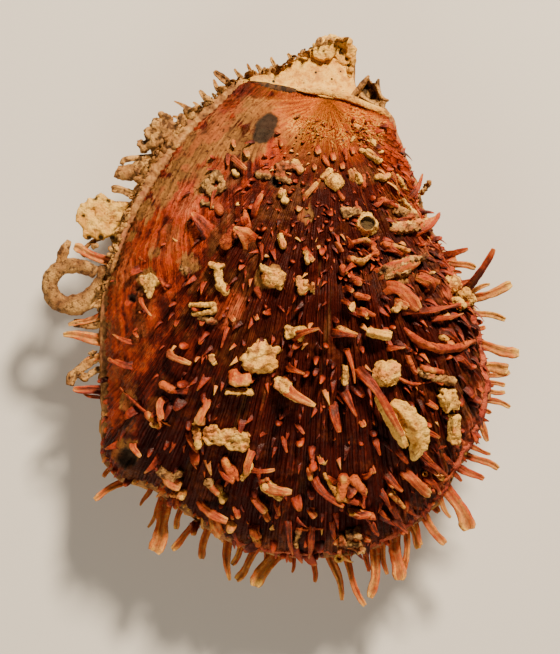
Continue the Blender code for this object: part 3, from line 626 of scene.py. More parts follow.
def pale_valve_material():
    """The lower valve: bright hinge area, sandy band, and a flank of tan and cream leaves of shell."""
    made, tree, shader = start_material("pale_valve", 0.78)
    broad, middle, fine = noise(tree, 6.0), noise(tree, 1.3, 4.0), noise(tree, 0.4, 2.0)
    hinge, scar, lip = attribute(tree, "hinge"), attribute(tree, "scar"), attribute(tree, "free_edge")
    flank = ramp(tree, middle, [(0.32, UMBER), (0.44, (0.19, 0.078, 0.024)), (0.57, (0.33, 0.15, 0.044)), (0.76, (0.54, 0.31, 0.11))])
    flank = mix(tree, span(tree, broad, 0.45, 0.65, 0.0, 0.55), flank, (0.36, 0.12, 0.06))
    flank = mix(tree, maths(tree, "MULTIPLY", lip, 0.7), flank, CREAM)
    face = ramp(tree, middle, [(0.30, TAN), (0.40, (0.56, 0.25, 0.03)), (0.52, (0.74, 0.39, 0.065)), (0.7, (0.82, 0.51, 0.12))])
    worn = span(tree, noise(tree, 3.2, 5.0, 0.65, warp=0.5), 0.54, 0.68, 0.0, 0.45)
    face = mix(tree, worn, face, (0.42, 0.19, 0.055))
    face = mix(tree, span(tree, fine, 0.40, 0.28, 0.0, 0.9), face, (0.20, 0.08, 0.02))
    # Painted shade: a near-black disc darkens the hinge face at each hole.
    for x, y, radius in HINGE_HOLES:
        above = add(tree, "ShaderNodeVectorMath", {0: place_in_object(tree), 1: (1.0, 1.0, 0.0)}, operation="MULTIPLY")
        away = add(tree, "ShaderNodeVectorMath", {0: above, 1: (x * MM, y * MM, 0.0)}, 1, operation="DISTANCE")
        face = mix(tree, span(tree, away, radius * 1.25 * MM, radius * 0.75 * MM), face, PAINTED_SHADE_BLACK)
    shade = mix(tree, hinge, flank, face)
    stone = ramp(tree, middle, [(0.3, (0.30, 0.25, 0.19)), (0.5, (0.55, 0.48, 0.38)), (0.7, (0.72, 0.66, 0.55))])
    # Painted shadow: the strip of the band next to the red valve's edge is darkened to umber.
    shade = mix(tree, maths(tree, "MULTIPLY", attribute(tree, "seam"), 0.85), shade, UMBER)
    shade = mix(tree, scar, shade, stone)
    tree.links.new(shade, shader.inputs["Base Color"])
    relief = bump(tree, middle, 0.3)
    tree.links.new(bump(tree, fine, 0.14, relief), shader.inputs["Normal"])
    return made


pale_valve = pale_valve_material()
cream_crust = lime_material("cream_lime", PALE_CREAM, CREAM, (0.22, 0.085, 0.022), 0.7, 0.45, 0.35, (0.62, 0.17, 0.045))
gold_crust = lime_material("golden_lime", (0.78, 0.47, 0.10), (0.60, 0.29, 0.045), (0.28, 0.11, 0.025), 0.9, 0.42, 0.4)
tan_crust = lime_material("tan_lime", (0.54, 0.29, 0.085), (0.32, 0.14, 0.038), UMBER, 0.8, 0.48, 0.4)
tube_lime = lime_material("tube_lime", (0.50, 0.27, 0.082), (0.22, 0.092, 0.028), UMBER, 0.5, 0.47, 0.35)
red_crust = lime_material("red_lime", (0.48, 0.10, 0.018), (0.28, 0.032, 0.008), DEEP_RED, 0.6, 0.44, 0.3, CREAM)
rosy_crust = lime_material("rosy_lime", (0.54, 0.12, 0.055), (0.34, 0.040, 0.020), DEEP_RED, 0.6, 0.46, 0.4, TAN)
# A near-black finish for the painted shade in the hinge crevice and in a small ring.
painted_shade_finish = lime_material("painted_shade_finish", (0.13, 0.055, 0.02), (0.05, 0.02, 0.008), PAINTED_SHADE_BLACK, 0.6, 0.5, 0.3)
print("lime finishes:", cream_crust.name, tan_crust.name, tube_lime.name, painted_shade_finish.name)

# %% [markdown]
# ## The lower valve
#
# The lower valve is a thick cup. Its rim shows beyond the red valve as a sandy band, and at the beak it
# stretches into the flat bright triangle where the hinge once grew. Its flank is built of thin leaves of shell,
# one over the other, with ragged free edges. It is made as rings of points: across the band, down the flank on
# a quarter ellipse, and over the flat scar that it rests on. The leaves are a saw wave down the flank.

# %% The lower valve
LOWER_COLUMNS = 600
BAND_ROWS = 15
FLANK_ROWS = 86
LEAVES = 13


def around(degrees, distance, height):
    turn = np.radians(degrees)
    x = BODY_CENTRE[0] + distance * np.cos(turn)
    y = BODY_CENTRE[1] + distance * np.sin(turn)
    return np.stack(np.broadcast_arrays(x, y, height), axis=-1)


def lower_edge(degrees):
    reach = rim_distance(degrees) + round_table(OVERHANG, degrees)
    return around(degrees, reach, seam_height(degrees) - SEAM_GAP / 2 - round_table(EDGE_DROP, degrees))


def flank(degrees, step):
    """The lower valve's side: a quarter ellipse from its edge, at step 0, to the scar, at step 90."""
    turn = np.radians(degrees)
    scar = np.stack([SCAR_HALF_WIDTH * np.cos(turn), SCAR_HALF_LENGTH * np.sin(turn), 0 * turn], axis=-1)
    edge, slope = lower_edge(degrees), math.radians(step)
    side = scar + (edge - scar) * math.cos(slope)
    side[..., 2] = edge[..., 2] * (1 - math.sin(slope))
    return side


def grid_normals(grid):
    """Outward normals of a closed band of rows."""
    along = np.gradient(grid, axis=0)
    across = (np.roll(grid, -1, axis=1) - np.roll(grid, 1, axis=1)) / 2
    normal = np.cross(along, across)
    return normal / np.maximum(np.linalg.norm(normal, axis=-1, keepdims=True), 1e-9)


def make_lower_valve():
    degrees = np.linspace(-180, 180, LOWER_COLUMNS, endpoint=False)
    rim, seam = rim_distance(degrees), seam_height(degrees) - SEAM_GAP / 2
    depth = COMMISSURE_HEIGHT - LOWER_FLOOR
    inside = [around(degrees, rim * 0.89 * share, seam - depth * dome(share)) for share in (0.25, 0.55, 0.82, 1.0)]
    edge = lower_edge(degrees)
    start = around(degrees, rim * 0.985, seam)
    band = [start + (edge - start) * t for t in np.linspace(0, 1, BAND_ROWS)]
    steps = 90 * np.linspace(0, 1, FLANK_ROWS + 1)[1:]
    side = [flank(degrees, step) for step in steps]
    outer = np.array(band + side)
    down = np.concatenate([np.zeros(BAND_ROWS), steps / 90])[:, None] * np.ones(LOWER_COLUMNS)
    across = np.concatenate([np.linspace(0, 1, BAND_ROWS), np.ones(FLANK_ROWS)])[:, None] * np.ones(LOWER_COLUMNS)
    turn = degrees[None] * np.ones_like(down)
    hinge = smoothstep(72, 77, turn) * smoothstep(107, 104, turn) * (down == 0) * smoothstep(0.0, 0.06, across)
    normal = grid_normals(outer)
    normal *= np.sign(normal[BAND_ROWS + 20, 0, :2] @ (outer[BAND_ROWS + 20, 0, :2] - BODY_CENTRE))

    leaf = down * LEAVES + 0.55 * grain(outer, 7.0, 41, 2) + 0.1 * grain(outer, 1.5, 42)
    saw = (leaf % 1.0)
    free = smoothstep(0.0, 0.05, down) * smoothstep(1.0, 0.93, down)
    relief = free * (0.85 * (1 - saw) ** 1.6 - 0.15)
    ribs = np.cos(np.radians(turn) * 64 + 0.8 * grain(outer, 6.0, 43))
    relief += free * 0.22 * ribs + free * 0.7 * grain(outer, 9.0, 44, 2)
    sandy = (down == 0) * smoothstep(0.0, 0.1, across)
    relief += sandy * (1 - hinge) * 0.28 * grain(outer, 1.2, 45, 2)
    relief += hinge * (0.10 * grain(outer, 1.6, 46, 2) + 0.05 * np.cos(across * 40) - 0.5 * np.sin(math.pi * across))
    relief += hinge * 0.55 * np.exp(-(((across - 0.14) / 0.07) ** 2))
    relief += 0.25 * grain(outer, 2.2, 47, 2) * smoothstep(0.0, 0.08, down) * smoothstep(1.0, 0.95, down)
    outer = outer + normal * relief[..., None]
    outer[..., 2] = np.maximum(outer[..., 2], 0.0)
    outer[-1, :, 2] = 0.0

    scar_rows = []
    for share in (0.93, 0.8, 0.6, 0.4, 0.2):
        ring = outer[-1] * [share, share, 1]
        ring[:, 2] = 0.25 + 0.2 * grain(ring, 2.5, 48, 2)
        scar_rows.append(ring)
    rows = np.concatenate([np.array(inside), outer, np.array(scar_rows)])
    count = LOWER_COLUMNS
    flat = [rows.reshape(-1, 3), [[*BODY_CENTRE, LOWER_FLOOR - SEAM_GAP / 2]], [[0, 0, 0.25]]]
    flat = np.concatenate(flat)
    faces = ring_faces(len(rows), count)
    faces += cap_faces(list(range(count)), len(flat) - 2)
    faces += cap_faces(list(range((len(rows) - 1) * count, len(rows) * count)), len(flat) - 1)

    def known(values, inner, scar):
        parts = [np.full(len(inside) * count, float(inner)), values.ravel()]
        return np.concatenate(parts + [np.full(len(scar_rows) * count, float(scar)), [inner, scar]])

    attributes = {
        "hinge": known(hinge, 1, 0),
        "scar": known(smoothstep(0.95, 1.0, down), 0, 1),
        "free_edge": known(smoothstep(0.35, 0.0, saw) * free, 0, 0),
        # seam marks the strip of the band along the red valve's edge, for the painted shadow that edge casts.
        "seam": known(smoothstep(0.34, 0.08, across + 0.1 * grain(outer, 1.5, 49)) * (down == 0) * (1 - hinge), 0, 0),
    }
    made = mesh_piece("pale_valve_skin", flat, faces, pale_valve, attributes)
    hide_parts("lower_valve")
    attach(made, "root")
    return made


lower_valve = make_lower_valve()
print("faces of the lower valve:", len(lower_valve.data.polygons))

# %% [markdown]
# ## The finish of the spines
#
# A spine is red at its root and pales to orange, pink or cream at its tip, where it is oldest and most worn.
# Each spine brings two values of its own: how far along it a point lies, and its tone, from dark red at 0 to
# cream at 4. The ramp below reads both, and a noise breaks the change into streaks and chips of lime.

# %% Spine material


def spine_material():
    made, tree, shader = start_material("spine_shell", 0.5)
    along, tone = attribute(tree, "along"), attribute(tree, "tone")
    broad, middle, fine = noise(tree, 2.2), noise(tree, 0.8, 4.0), noise(tree, 0.3, 2.0)
    lengthwise = add(tree, "ShaderNodeVectorMath", {0: attribute(tree, "round_place", 1), 1: (9.0, 1.6, 1.0)}, operation="MULTIPLY")
    streak = add(tree, "ShaderNodeTexNoise", {"Vector": lengthwise, "Scale": 1.0, "Detail": 4.0, "Roughness": 0.65})
    place = maths(tree, "MULTIPLY", tone, 0.185)
    place = maths(tree, "ADD", place, span(tree, along, 0.0, 0.75, -0.16, 0.02))
    place = maths(tree, "ADD", place, span(tree, along, 0.78, 1.0, 0.0, 0.26))
    place = maths(tree, "ADD", place, span(tree, broad, 0.3, 0.7, -0.10, 0.10))
    place = maths(tree, "ADD", place, span(tree, streak, 0.3, 0.7, -0.20, 0.17))
    place = maths(tree, "ADD", place, span(tree, middle, 0.3, 0.7, -0.06, 0.06))
    stops = [
        (0.0, MAROON), (0.16, DEEP_RED), (0.31, BRICK), (0.47, ORANGE_RED), (0.62, (0.54, 0.14, 0.024)),
        (0.76, (0.64, 0.26, 0.06)), (0.90, CREAM), (1.0, PALE_CREAM),
    ]
    shade = ramp(tree, place, stops)
    limy = maths(tree, "MULTIPLY", span(tree, tone, 2.2, 3.6), span(tree, middle, 0.52, 0.38))
    shade = mix(tree, maths(tree, "MULTIPLY", limy, 0.8), shade, (0.34, 0.16, 0.05))
    # Painted shade: the groove along each spine's upper side is darkened.
    shade = mix(tree, maths(tree, "MULTIPLY", attribute(tree, "hollow"), 0.75), shade, (0.11, 0.035, 0.012))
    shade = mix(tree, span(tree, fine, 0.42, 0.28, 0.0, 0.6), shade, UMBER)
    tree.links.new(shade, shader.inputs["Base Color"])
    tree.links.new(span(tree, tone, 1.0, 4.0, 0.42, 0.75), shader.inputs["Roughness"])
    relief = bump(tree, streak, 0.30)
    relief = bump(tree, middle, 0.20, relief)
    tree.links.new(bump(tree, fine, 0.12, relief), shader.inputs["Normal"])
    return made


spine_shell = spine_material()
print("spine finish:", spine_shell.name)

# %% [markdown]
# ## Spines that follow paths
#
# Every large spine has its own course: it leaves the surface steeply, bends outwards and ends in a point, a
# blunt end or a flared, broken one. Modelling each by hand would take a day, so only their paths are made, as
# chains of points that carry their width, flatness and tone. A node tree then sweeps a round section along
# each path, presses it flat, cuts a groove along its upper side and roughens it.

# %% The tree that turns paths into spines


def new_tree(name, sizes):
    """A geometry tree with a mesh input and output and the named inputs in sizes."""
    tree = bpy.data.node_groups.new(name, "GeometryNodeTree")
    tree.interface.new_socket("Geometry", in_out="INPUT", socket_type="NodeSocketGeometry")
    for key, kind, default in sizes:
        socket = tree.interface.new_socket(key, in_out="INPUT", socket_type=kind)
        if default is not None:
            socket.default_value = default
    tree.interface.new_socket("Geometry", in_out="OUTPUT", socket_type="NodeSocketGeometry")
    return tree, tree.nodes.new("NodeGroupInput").outputs


def finish_tree(tree, geometry, material):
    """Ends a tree in Realize Instances and Set Material, smoothly shaded."""
    geometry = add(tree, "GeometryNodeRealizeInstances", {"Geometry": geometry})
    geometry = add(tree, "GeometryNodeSetShadeSmooth", {"Geometry": geometry})
    geometry = add(tree, "GeometryNodeSetMaterial", {"Geometry": geometry, "Material": material})
    end = tree.nodes.new("NodeGroupOutput")
    tree.links.new(geometry, end.inputs[0])


def named(tree, name, kind="FLOAT"):
    return add(tree, "GeometryNodeInputNamedAttribute", {"Name": name}, data_type=kind)


def vector(tree, operation, first, second=None, scale=None, output=0):
    inputs = {0: first}
    if second is not None:
        inputs[1] = second
    if scale is not None:
        inputs["Scale"] = scale
    return add(tree, "ShaderNodeVectorMath", inputs, output, operation=operation)


def grow(name, source, tree, settings, replaced=(), doomed=()):
    """Runs a tree on source, keeps the result as a plain mesh that rides on the shell, and removes source."""
    modifier = source.modifiers.new(tree.name, "NODES")
    modifier.node_group = tree
    for item in tree.interface.items_tree:
        if item.item_type == "SOCKET" and item.in_out == "INPUT" and item.name in settings:
            modifier[item.identifier] = settings[item.name]
    bpy.context.view_layer.update()
    graph = bpy.context.evaluated_depsgraph_get()
    data = bpy.data.meshes.new_from_object(source.evaluated_get(graph), preserve_all_data_layers=True, depsgraph=graph)
    data.name = name
    source.modifiers.remove(modifier)
    made = bpy.data.objects.new(name, data)
    bpy.context.scene.collection.objects.link(made)
    for old in (source, *doomed):
        bpy.data.objects.remove(old)
    if replaced:
        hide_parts(*replaced)
    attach(made, "root")
    return made


def path_object(name, paths):
    """One mesh of separate chains of points. Each path is a dict of arrays, with its points under place."""
    data = bpy.data.meshes.new(name)
    places = np.concatenate([path["place"] for path in paths])
    edges, start = [], 0
    for path in paths:
        count = len(path["place"])
        edges += [(start + i, start + i + 1) for i in range(count - 1)]
        start += count
    data.from_pydata((places * MM).tolist(), edges, [])
    for key in (key for key in paths[0] if key != "place"):
        values = np.concatenate([path[key] for path in paths]).astype(np.float32)
        kind = "FLOAT" if values.ndim == 1 else "FLOAT_VECTOR"
        layer = data.attributes.new(key, kind, "POINT")
        layer.data.foreach_set("value" if kind == "FLOAT" else "vector", values.ravel())
    made = bpy.data.objects.new(name, data)
    bpy.context.scene.collection.objects.link(made)
    return made


def build_spine_tree():
    sizes = [("Sides", "NodeSocketInt", 10), ("Groove", "NodeSocketFloat", 0.5), ("Roughness", "NodeSocketFloat", 0.3)]
    sizes += [("Ridges", "NodeSocketFloat", 0.1), ("Finish", "NodeSocketMaterial", None)]
    tree, given = new_tree("spines_on_paths", sizes)
    curve = add(tree, "GeometryNodeMeshToCurve", {"Mesh": given["Geometry"]})
    here = add(tree, "GeometryNodeInputPosition")
    store = {"Geometry": curve, "Name": "middle_line", "Value": here}
    curve = add(tree, "GeometryNodeStoreNamedAttribute", store, data_type="FLOAT_VECTOR", domain="POINT")
    section = add(tree, "GeometryNodeCurvePrimitiveCircle", {"Resolution": given["Sides"], "Radius": 1.0})
    width = named(tree, "half_width")
    sweep = {"Curve": curve, "Profile Curve": section, "Scale": width, "Fill Caps": True}
    tube = add(tree, "GeometryNodeCurveToMesh", sweep)
    face = named(tree, "upper_side", "FLOAT_VECTOR")
    middle = named(tree, "middle_line", "FLOAT_VECTOR")
    local = vector(tree, "SUBTRACT", here, middle)
    up = vector(tree, "DOT_PRODUCT", local, face, output=1)
    upright = vector(tree, "SCALE", face, scale=up)
    sideways = vector(tree, "SUBTRACT", local, upright)
    off = maths(tree, "DIVIDE", vector(tree, "LENGTH", sideways, output=1), width)
    top = add(tree, "ShaderNodeClamp", {"Value": maths(tree, "DIVIDE", up, width)})
    bowl = maths(tree, "EXPONENT", maths(tree, "MULTIPLY", maths(tree, "MULTIPLY", off, off), -7.0))
    hollow = maths(tree, "MULTIPLY", bowl, top)
    groove = maths(tree, "MULTIPLY", hollow, maths(tree, "MULTIPLY", given["Groove"], width))
    flat = maths(tree, "MULTIPLY", up, maths(tree, "SUBTRACT", named(tree, "flatness"), 1.0))
    pressed = vector(tree, "SCALE", face, scale=maths(tree, "SUBTRACT", flat, groove))
    side = vector(tree, "DOT_PRODUCT", local, named(tree, "aside", "FLOAT_VECTOR"), output=1)
    angle = maths(tree, "ARCTAN2", up, side)
    ridges = maths(tree, "SINE", maths(tree, "ADD", maths(tree, "MULTIPLY", angle, 5.0), 0.8))
    ridges = maths(tree, "MULTIPLY", ridges, maths(tree, "MULTIPLY", given["Ridges"], 1.0))
    outward = vector(tree, "SCALE", local, scale=ridges)
    rough = add(tree, "ShaderNodeTexNoise", {"Scale": 800.0, "Detail": 2.0}, output=1)
    rough = vector(tree, "SUBTRACT", rough, (0.5, 0.5, 0.5))
    rough = vector(tree, "SCALE", rough, scale=maths(tree, "MULTIPLY", given["Roughness"], width))
    shift = vector(tree, "ADD", vector(tree, "ADD", pressed, outward), rough)
    # The groove's depth is stored as hollow, for the painted shade in it.
    store = {"Geometry": tube, "Name": "hollow", "Value": maths(tree, "MULTIPLY", hollow, given["Groove"])}
    tube = add(tree, "GeometryNodeStoreNamedAttribute", store, data_type="FLOAT", domain="POINT")
    place = add(tree, "ShaderNodeCombineXYZ", {"X": maths(tree, "ABSOLUTE", maths(tree, "DIVIDE", angle, 6.3)), "Y": named(tree, "along")})
    tree.links.new(maths(tree, "MULTIPLY", named(tree, "tone"), 7.3), place.node.inputs["Z"])
    store = {"Geometry": tube, "Name": "round_place", "Value": place}
    tube = add(tree, "GeometryNodeStoreNamedAttribute", store, data_type="FLOAT_VECTOR", domain="POINT")
    tube = add(tree, "GeometryNodeSetPosition", {"Geometry": tube, "Offset": shift})
    finish_tree(tree, tube, given["Finish"])
    return tree


spine_tree = build_spine_tree()
print("nodes in the spine tree:", len(spine_tree.nodes))

# %% [markdown]
# ## The spines of the upper valve
#
# The table lists every large spine as it stands on the real shell: its foot and its tip seen from above, how
# far the tip rises over the valve, its width, its tone and the width of its end. A small end is a sharp thorn,
# an end near one is broken off blunt, and a wider one is a spoon. Each path starts inside the shell wall,
# leaves along the surface's own normal and bends over to its tip, because that is how a mantle edge lays
# spines down: first outwards, and then flat as the shell grows past them.

# %% Upper valve spines
UPPER_SPINES = [
    (15.9, -31.8, 18.7, -35.3, 1.6, 1.0, 1.6, 0.3), (18.2, -34.6, 21.9, -40.1, 1.6, 1.3, 1.5, 0.4),
    (22.9, -23.4, 29.2, -30.4, 1.8, 0.9, 1.9, 0.4), (21.0, -28.2, 26.4, -32.7, 2.0, 1.8, 2.2, 0.8),
    (16.4, -36.0, 18.6, -38.4, 1.4, 1.0, 1.6, 0.5),
    (-16.8, 18.0, -19.8, 21.8, 2.2, 3.0, 1.7, 0.4), (-9.0, 16.4, -11.8, 18.6, 3.6, 2.8, 3.0, 0.3),
    (-9.4, 18.4, -10.2, 20.8, 3.0, 1.6, 1.5, 0.7), (-8.0, 20.6, -6.6, 25.2, 2.6, 1.2, 2.0, 0.7),
    (-3.2, 17.8, -0.8, 17.0, 2.2, 0.9, 1.5, 0.4), 
    (1.6, 24.2, 4.2, 27.4, 2.2, 1.1, 3.6, 0.7), (-12.4, 32.4, -9.4, 30.2, 1.8, 1.2, 2.8, 0.6),
    (15.4, 32.0, 13.6, 34.0, 2.0, 1.2, 3.4, 0.9), (10.8, 27.8, 10.4, 30.0, 2.2, 1.2, 3.6, 0.9),
    (22.0, 25.0, 25.4, 30.0, 3.0, 1.2, 1.8, 0.4), (23.0, 17.8, 28.6, 21.8, 3.2, 1.8, 2.3, 0.9),
    (17.0, 14.8, 20.8, 13.6, 2.6, 1.3, 1.5, 0.5), (16.6, 9.8, 24.0, 12.6, 3.6, 2.4, 2.9, 0.9),
    (17.8, 7.2, 23.8, 3.2, 4.0, 2.2, 2.7, 1.0), (26.0, 6.8, 23.6, 9.2, 3.4, 2.0, 2.4, 0.8),
    (20.6, 2.6, 34.6, 3.6, 2.6, 1.2, 1.7, 0.9), (26.4, 1.0, 33.0, 2.2, 1.6, 1.0, 2.2, 0.5),
    (33.0, 6.4, 38.8, 15.2, 6.0, 1.5, 1.3, 0.8), (29.4, 13.6, 34.4, 15.0, 2.4, 1.4, 1.6, 0.5),
    (18.8, 4.4, 21.6, 3.4, 2.6, 1.8, 3.3, 0.8),
    (-12.8, -0.2, -14.2, -4.4, 2.2, 0.9, 1.2, 0.4), (-0.4, -2.2, 4.4, -0.6, 3.4, 1.5, 1.9, 0.4),
    (7.0, -1.6, 11.6, -2.0, 3.0, 1.4, 1.3, 0.3), (-1.4, -8.2, 1.8, -9.2, 2.4, 1.2, 2.0, 0.4),
    (-2.4, -11.2, 3.6, -15.6, 4.0, 2.3, 3.0, 0.4),
    (9.0, -12.4, 11.8, -17.4, 3.4, 1.6, 1.4, 0.3), (9.8, -4.8, 11.2, -11.2, 2.6, 0.9, 2.5, 0.4),
    (12.0, -8.7, 21.0, -21.0, 5.6, 1.7, 2.0, 0.7), (14.4, -1.2, 18.4, -2.0, 2.6, 1.4, 3.8, 1.0),
    (17.4, -4.4, 21.0, -4.2, 2.6, 1.1, 2.0, 0.3), (10.6, 8.2, 12.6, 7.8, 2.4, 1.2, 2.2, 0.8),
    (12.0, 5.4, 14.2, 5.0, 2.4, 1.2, 2.4, 0.8), (11.6, 2.6, 13.8, 2.0, 2.4, 1.2, 2.0, 0.7),
    (-10.6, -9.2, -10.6, -11.6, 2.8, 4.2, 3.1, 0.9), (-24.4, -5.2, -20.2, -7.6, 2.6, 1.4, 3.0, 0.7),
    (-25.6, -14.4, -25.8, -18.2, 3.0, 1.4, 2.9, 0.8), (-31.8, -23.0, -30.2, -25.8, 2.6, 1.4, 2.6, 0.6),
    (-17.2, -14.8, -19.2, -19.0, 3.4, 1.5, 3.0, 1.0), (-20.8, -20.8, -19.2, -24.8, 2.6, 1.1, 2.4, 0.6),
    (-14.4, -27.0, -12.2, -30.2, 3.0, 1.6, 1.8, 1.2), (-8.2, -24.0, -9.6, -29.0, 3.0, 1.5, 2.9, 0.7),
    (-25.2, -28.8, -22.6, -32.0, 2.6, 2.6, 2.9, 0.8), (-15.8, -30.8, -14.6, -32.8, 2.8, 2.4, 3.1, 0.8),
    (-18.6, -34.4, -13.2, -38.4, 3.8, 1.6, 2.7, 1.1), (-15.8, -38.0, -14.8, -41.8, 3.0, 2.2, 3.3, 1.0),
    (-31.6, -3.4, -36.0, -2.0, 2.2, 1.0, 2.1, 0.5), (-32.4, -8.0, -37.0, -6.8, 2.4, 1.4, 2.2, 0.6),
    (-8.0, -33.4, -5.6, -36.6, 2.6, 1.6, 2.6, 0.8), (-7.8, -39.6, -7.0, -42.2, 2.6, 1.6, 2.6, 0.8),
    (7.2, -15.4, 8.2, -20.6, 2.6, 1.8, 1.7, 0.6), (-6.0, -30.6, -0.8, -32.6, 3.8, 1.9, 3.1, 0.7),
    (3.6, -29.6, 9.2, -35.4, 3.6, 1.6, 1.6, 0.6), (-1.4, -37.6, -0.2, -45.6, 3.6, 1.2, 1.4, 0.5),
    (3.4, -39.6, 2.6, -46.4, 3.2, 1.3, 1.8, 0.5), (10.4, -36.4, 14.8, -36.8, 3.0, 1.5, 1.4, 0.8),
    (17.6, -29.0, 21.0, -32.4, 3.2, 1.4, 1.4, 0.5), (24.4, -25.4, 30.4, -30.6, 2.8, 1.0, 1.8, 0.4),
    (21.0, -28.4, 26.6, -33.2, 4.0, 1.9, 2.8, 0.9), (16.4, -32.0, 18.8, -36.0, 3.2, 1.1, 1.3, 0.4),
    (18.8, -37.4, 22.2, -41.4, 3.0, 1.3, 1.0, 0.5), (10.0, -30.6, 11.8, -32.6, 3.0, 2.6, 1.3, 1.1),
    (11.0, -40.6, 11.8, -43.6, 3.0, 2.4, 2.8, 1.1),
]
# Lesser ones that stand between them
UPPER_THORNS = [
    (-13.0, 33.4, -13.0, 31.0, 0.8, 1.0, 1.3, 0.5), (-12.0, 36.2, -11.8, 34.6, 1.0, 0.7, 3.6, 0.8),
    (-9.6, 33.8, -9.2, 32.6, 1.2, 1.0, 3.2, 0.9), (-3.2, 35.8, -2.6, 34.8, 1.0, 0.8, 2.1, 0.9),
    (4.2, 34.8, 4.6, 33.2, 1.0, 1.0, 2.2, 1.0), (3.4, 31.0, 3.8, 30.0, 1.0, 0.8, 2.6, 0.9),
    (7.2, 33.4, 7.4, 31.8, 1.2, 1.0, 2.3, 1.0), (9.0, 31.4, 9.2, 30.2, 1.1, 0.9, 2.2, 0.9),
    (11.0, 34.6, 11.2, 33.2, 1.1, 0.9, 2.3, 0.9), (17.2, 31.2, 20.6, 25.6, 0.9, 0.7, 3.4, 0.6),
    (16.0, 29.0, 17.6, 28.2, 1.2, 1.2, 3.4, 0.9), (23.2, 30.6, 24.0, 29.0, 1.2, 0.6, 1.5, 0.3),
    (-14.8, 27.4, -16.2, 22.4, 0.9, 0.9, 1.4, 0.4), (-6.8, 15.6, -6.2, 12.4, 1.6, 0.8, 1.3, 0.3),
    (2.2, 13.4, 3.2, 12.4, 1.8, 1.1, 2.6, 0.8), (-7.8, 2.4, -7.2, 1.0, 1.6, 1.0, 2.8, 0.8),
    (-12.4, 1.8, -11.6, 0.8, 1.6, 1.0, 2.8, 0.8), (-16.2, -5.8, -15.6, -7.0, 1.6, 1.1, 3.6, 0.8),
    (-31.4, -1.2, -30.6, -2.4, 1.2, 0.9, 2.0, 0.6), (-27.0, -18.6, -27.6, -19.8, 1.8, 1.6, 3.2, 1.1),
    (-23.4, -22.0, -24.6, -25.0, 1.8, 0.9, 1.2, 0.3), (-30.0, 5.4, -27.8, 1.8, 1.6, 0.9, 2.1, 0.4),
    (12.6, 13.8, 15.2, 12.4, 2.6, 1.2, 1.4, 0.3), (10.4, 14.8, 9.8, 17.0, 2.4, 1.1, 1.6, 0.3),
    (13.8, 15.8, 16.2, 17.0, 2.4, 1.1, 1.5, 0.3), (11.2, 11.6, 9.6, 10.2, 2.4, 1.2, 1.5, 0.3),
    (9.2, 4.6, 10.4, 4.0, 1.8, 1.0, 2.0, 0.8), (9.6, 7.0, 11.0, 6.4, 1.8, 1.0, 2.2, 0.8),
    (8.8, 10.4, 9.8, 9.8, 1.8, 1.0, 1.8, 0.8), (12.4, -18.2, 13.2, -19.6, 2.0, 1.2, 2.6, 0.8),
    (4.8, -25.4, 5.2, -26.8, 2.0, 1.2, 2.8, 0.8), (14.4, -27.2, 15.2, -28.8, 2.0, 1.2, 2.6, 0.8),
    (21.6, -7.4, 23.6, -9.2, 2.2, 1.1, 1.4, 0.4), (3.0, -35.8, 4.0, -37.6, 2.4, 1.6, 2.6, 0.8),
    (12.8, -29.4, 14.8, -28.2, 2.8, 1.3, 1.4, 0.4), (9.2, -32.6, 7.4, -34.6, 2.6, 1.3, 1.3, 0.4),
    (12.8, -33.2, 13.4, -35.8, 2.8, 1.3, 1.6, 0.4), (8.0, -30.4, 6.2, -29.2, 2.6, 1.2, 1.5, 0.4),
    (9.4, -41.6, 7.6, -43.2, 2.2, 1.3, 2.2, 0.8), (12.8, -41.2, 14.8, -42.6, 2.2, 1.3, 2.4, 0.8),
    (-9.0, -27.6, -4.0, -28.0, 2.4, 1.1, 2.2, 0.6), (-6.0, -36.0, -5.0, -38.4, 2.2, 1.3, 2.7, 0.8),
    (-23.6, -34.0, -23.4, -36.6, 2.0, 1.3, 2.1, 0.8), (26.2, -9.8, 28.6, -11.6, 2.2, 1.3, 1.6, 0.5),
    (25.2, -14.6, 27.6, -16.4, 2.2, 1.2, 2.4, 0.6), (24.0, -3.6, 28.0, -5.0, 2.2, 1.4, 1.8, 0.5),
    (28.6, -1.4, 32.2, -3.4, 1.8, 1.3, 1.4, 0.6), (31.6, -6.4, 34.8, -8.8, 1.6, 1.3, 1.5, 0.6),
    (14.8, 22.8, 17.6, 24.8, 2.0, 0.9, 1.6, 0.3), (19.8, 20.0, 23.4, 21.4, 2.2, 1.0, 1.4, 0.4),
    (-20.0, -40.0, -20.2, -42.0, 1.0, 1.3, 2.1, 0.8), (-2.2, -21.6, -1.6, -24.6, 2.2, 1.1, 1.5, 0.4),
    (0.2, -18.6, 1.6, -21.0, 2.2, 1.1, 1.8, 0.4), (15.2, -21.8, 16.4, -25.2, 2.4, 1.2, 1.5, 0.4),
    (19.6, -24.0, 21.8, -27.0, 2.2, 1.2, 1.6, 0.5), (24.6, -20.4, 28.2, -22.0, 2.2, 1.2, 1.9, 0.5),
    (28.8, -25.6, 31.6, -28.2, 1.6, 1.1, 1.6, 0.6), (25.6, -30.0, 29.0, -33.4, 1.8, 1.3, 2.0, 0.7),
    (21.4, -35.0, 24.4, -38.4, 1.8, 1.3, 1.7, 0.7), (14.6, -38.4, 16.6, -41.6, 2.2, 1.3, 1.4, 0.5),
    (7.2, -38.0, 7.8, -42.2, 2.2, 1.2, 1.5, 0.5), (-3.6, -34.0, -3.2, -37.4, 2.2, 1.2, 1.8, 0.6),
    (-11.6, -35.0, -11.0, -38.0, 2.2, 1.3, 2.0, 0.7),
]
SPINE_POINTS = 15


def smooth_course(places, points):
    """Points along the smooth curve through a few places, evenly numbered."""
    fine = smooth_path(places, 12, False)
    return np.stack([np.interp(np.linspace(0, 1, points), np.linspace(0, 1, len(fine)), fine[:, k]) for k in range(3)], 1)


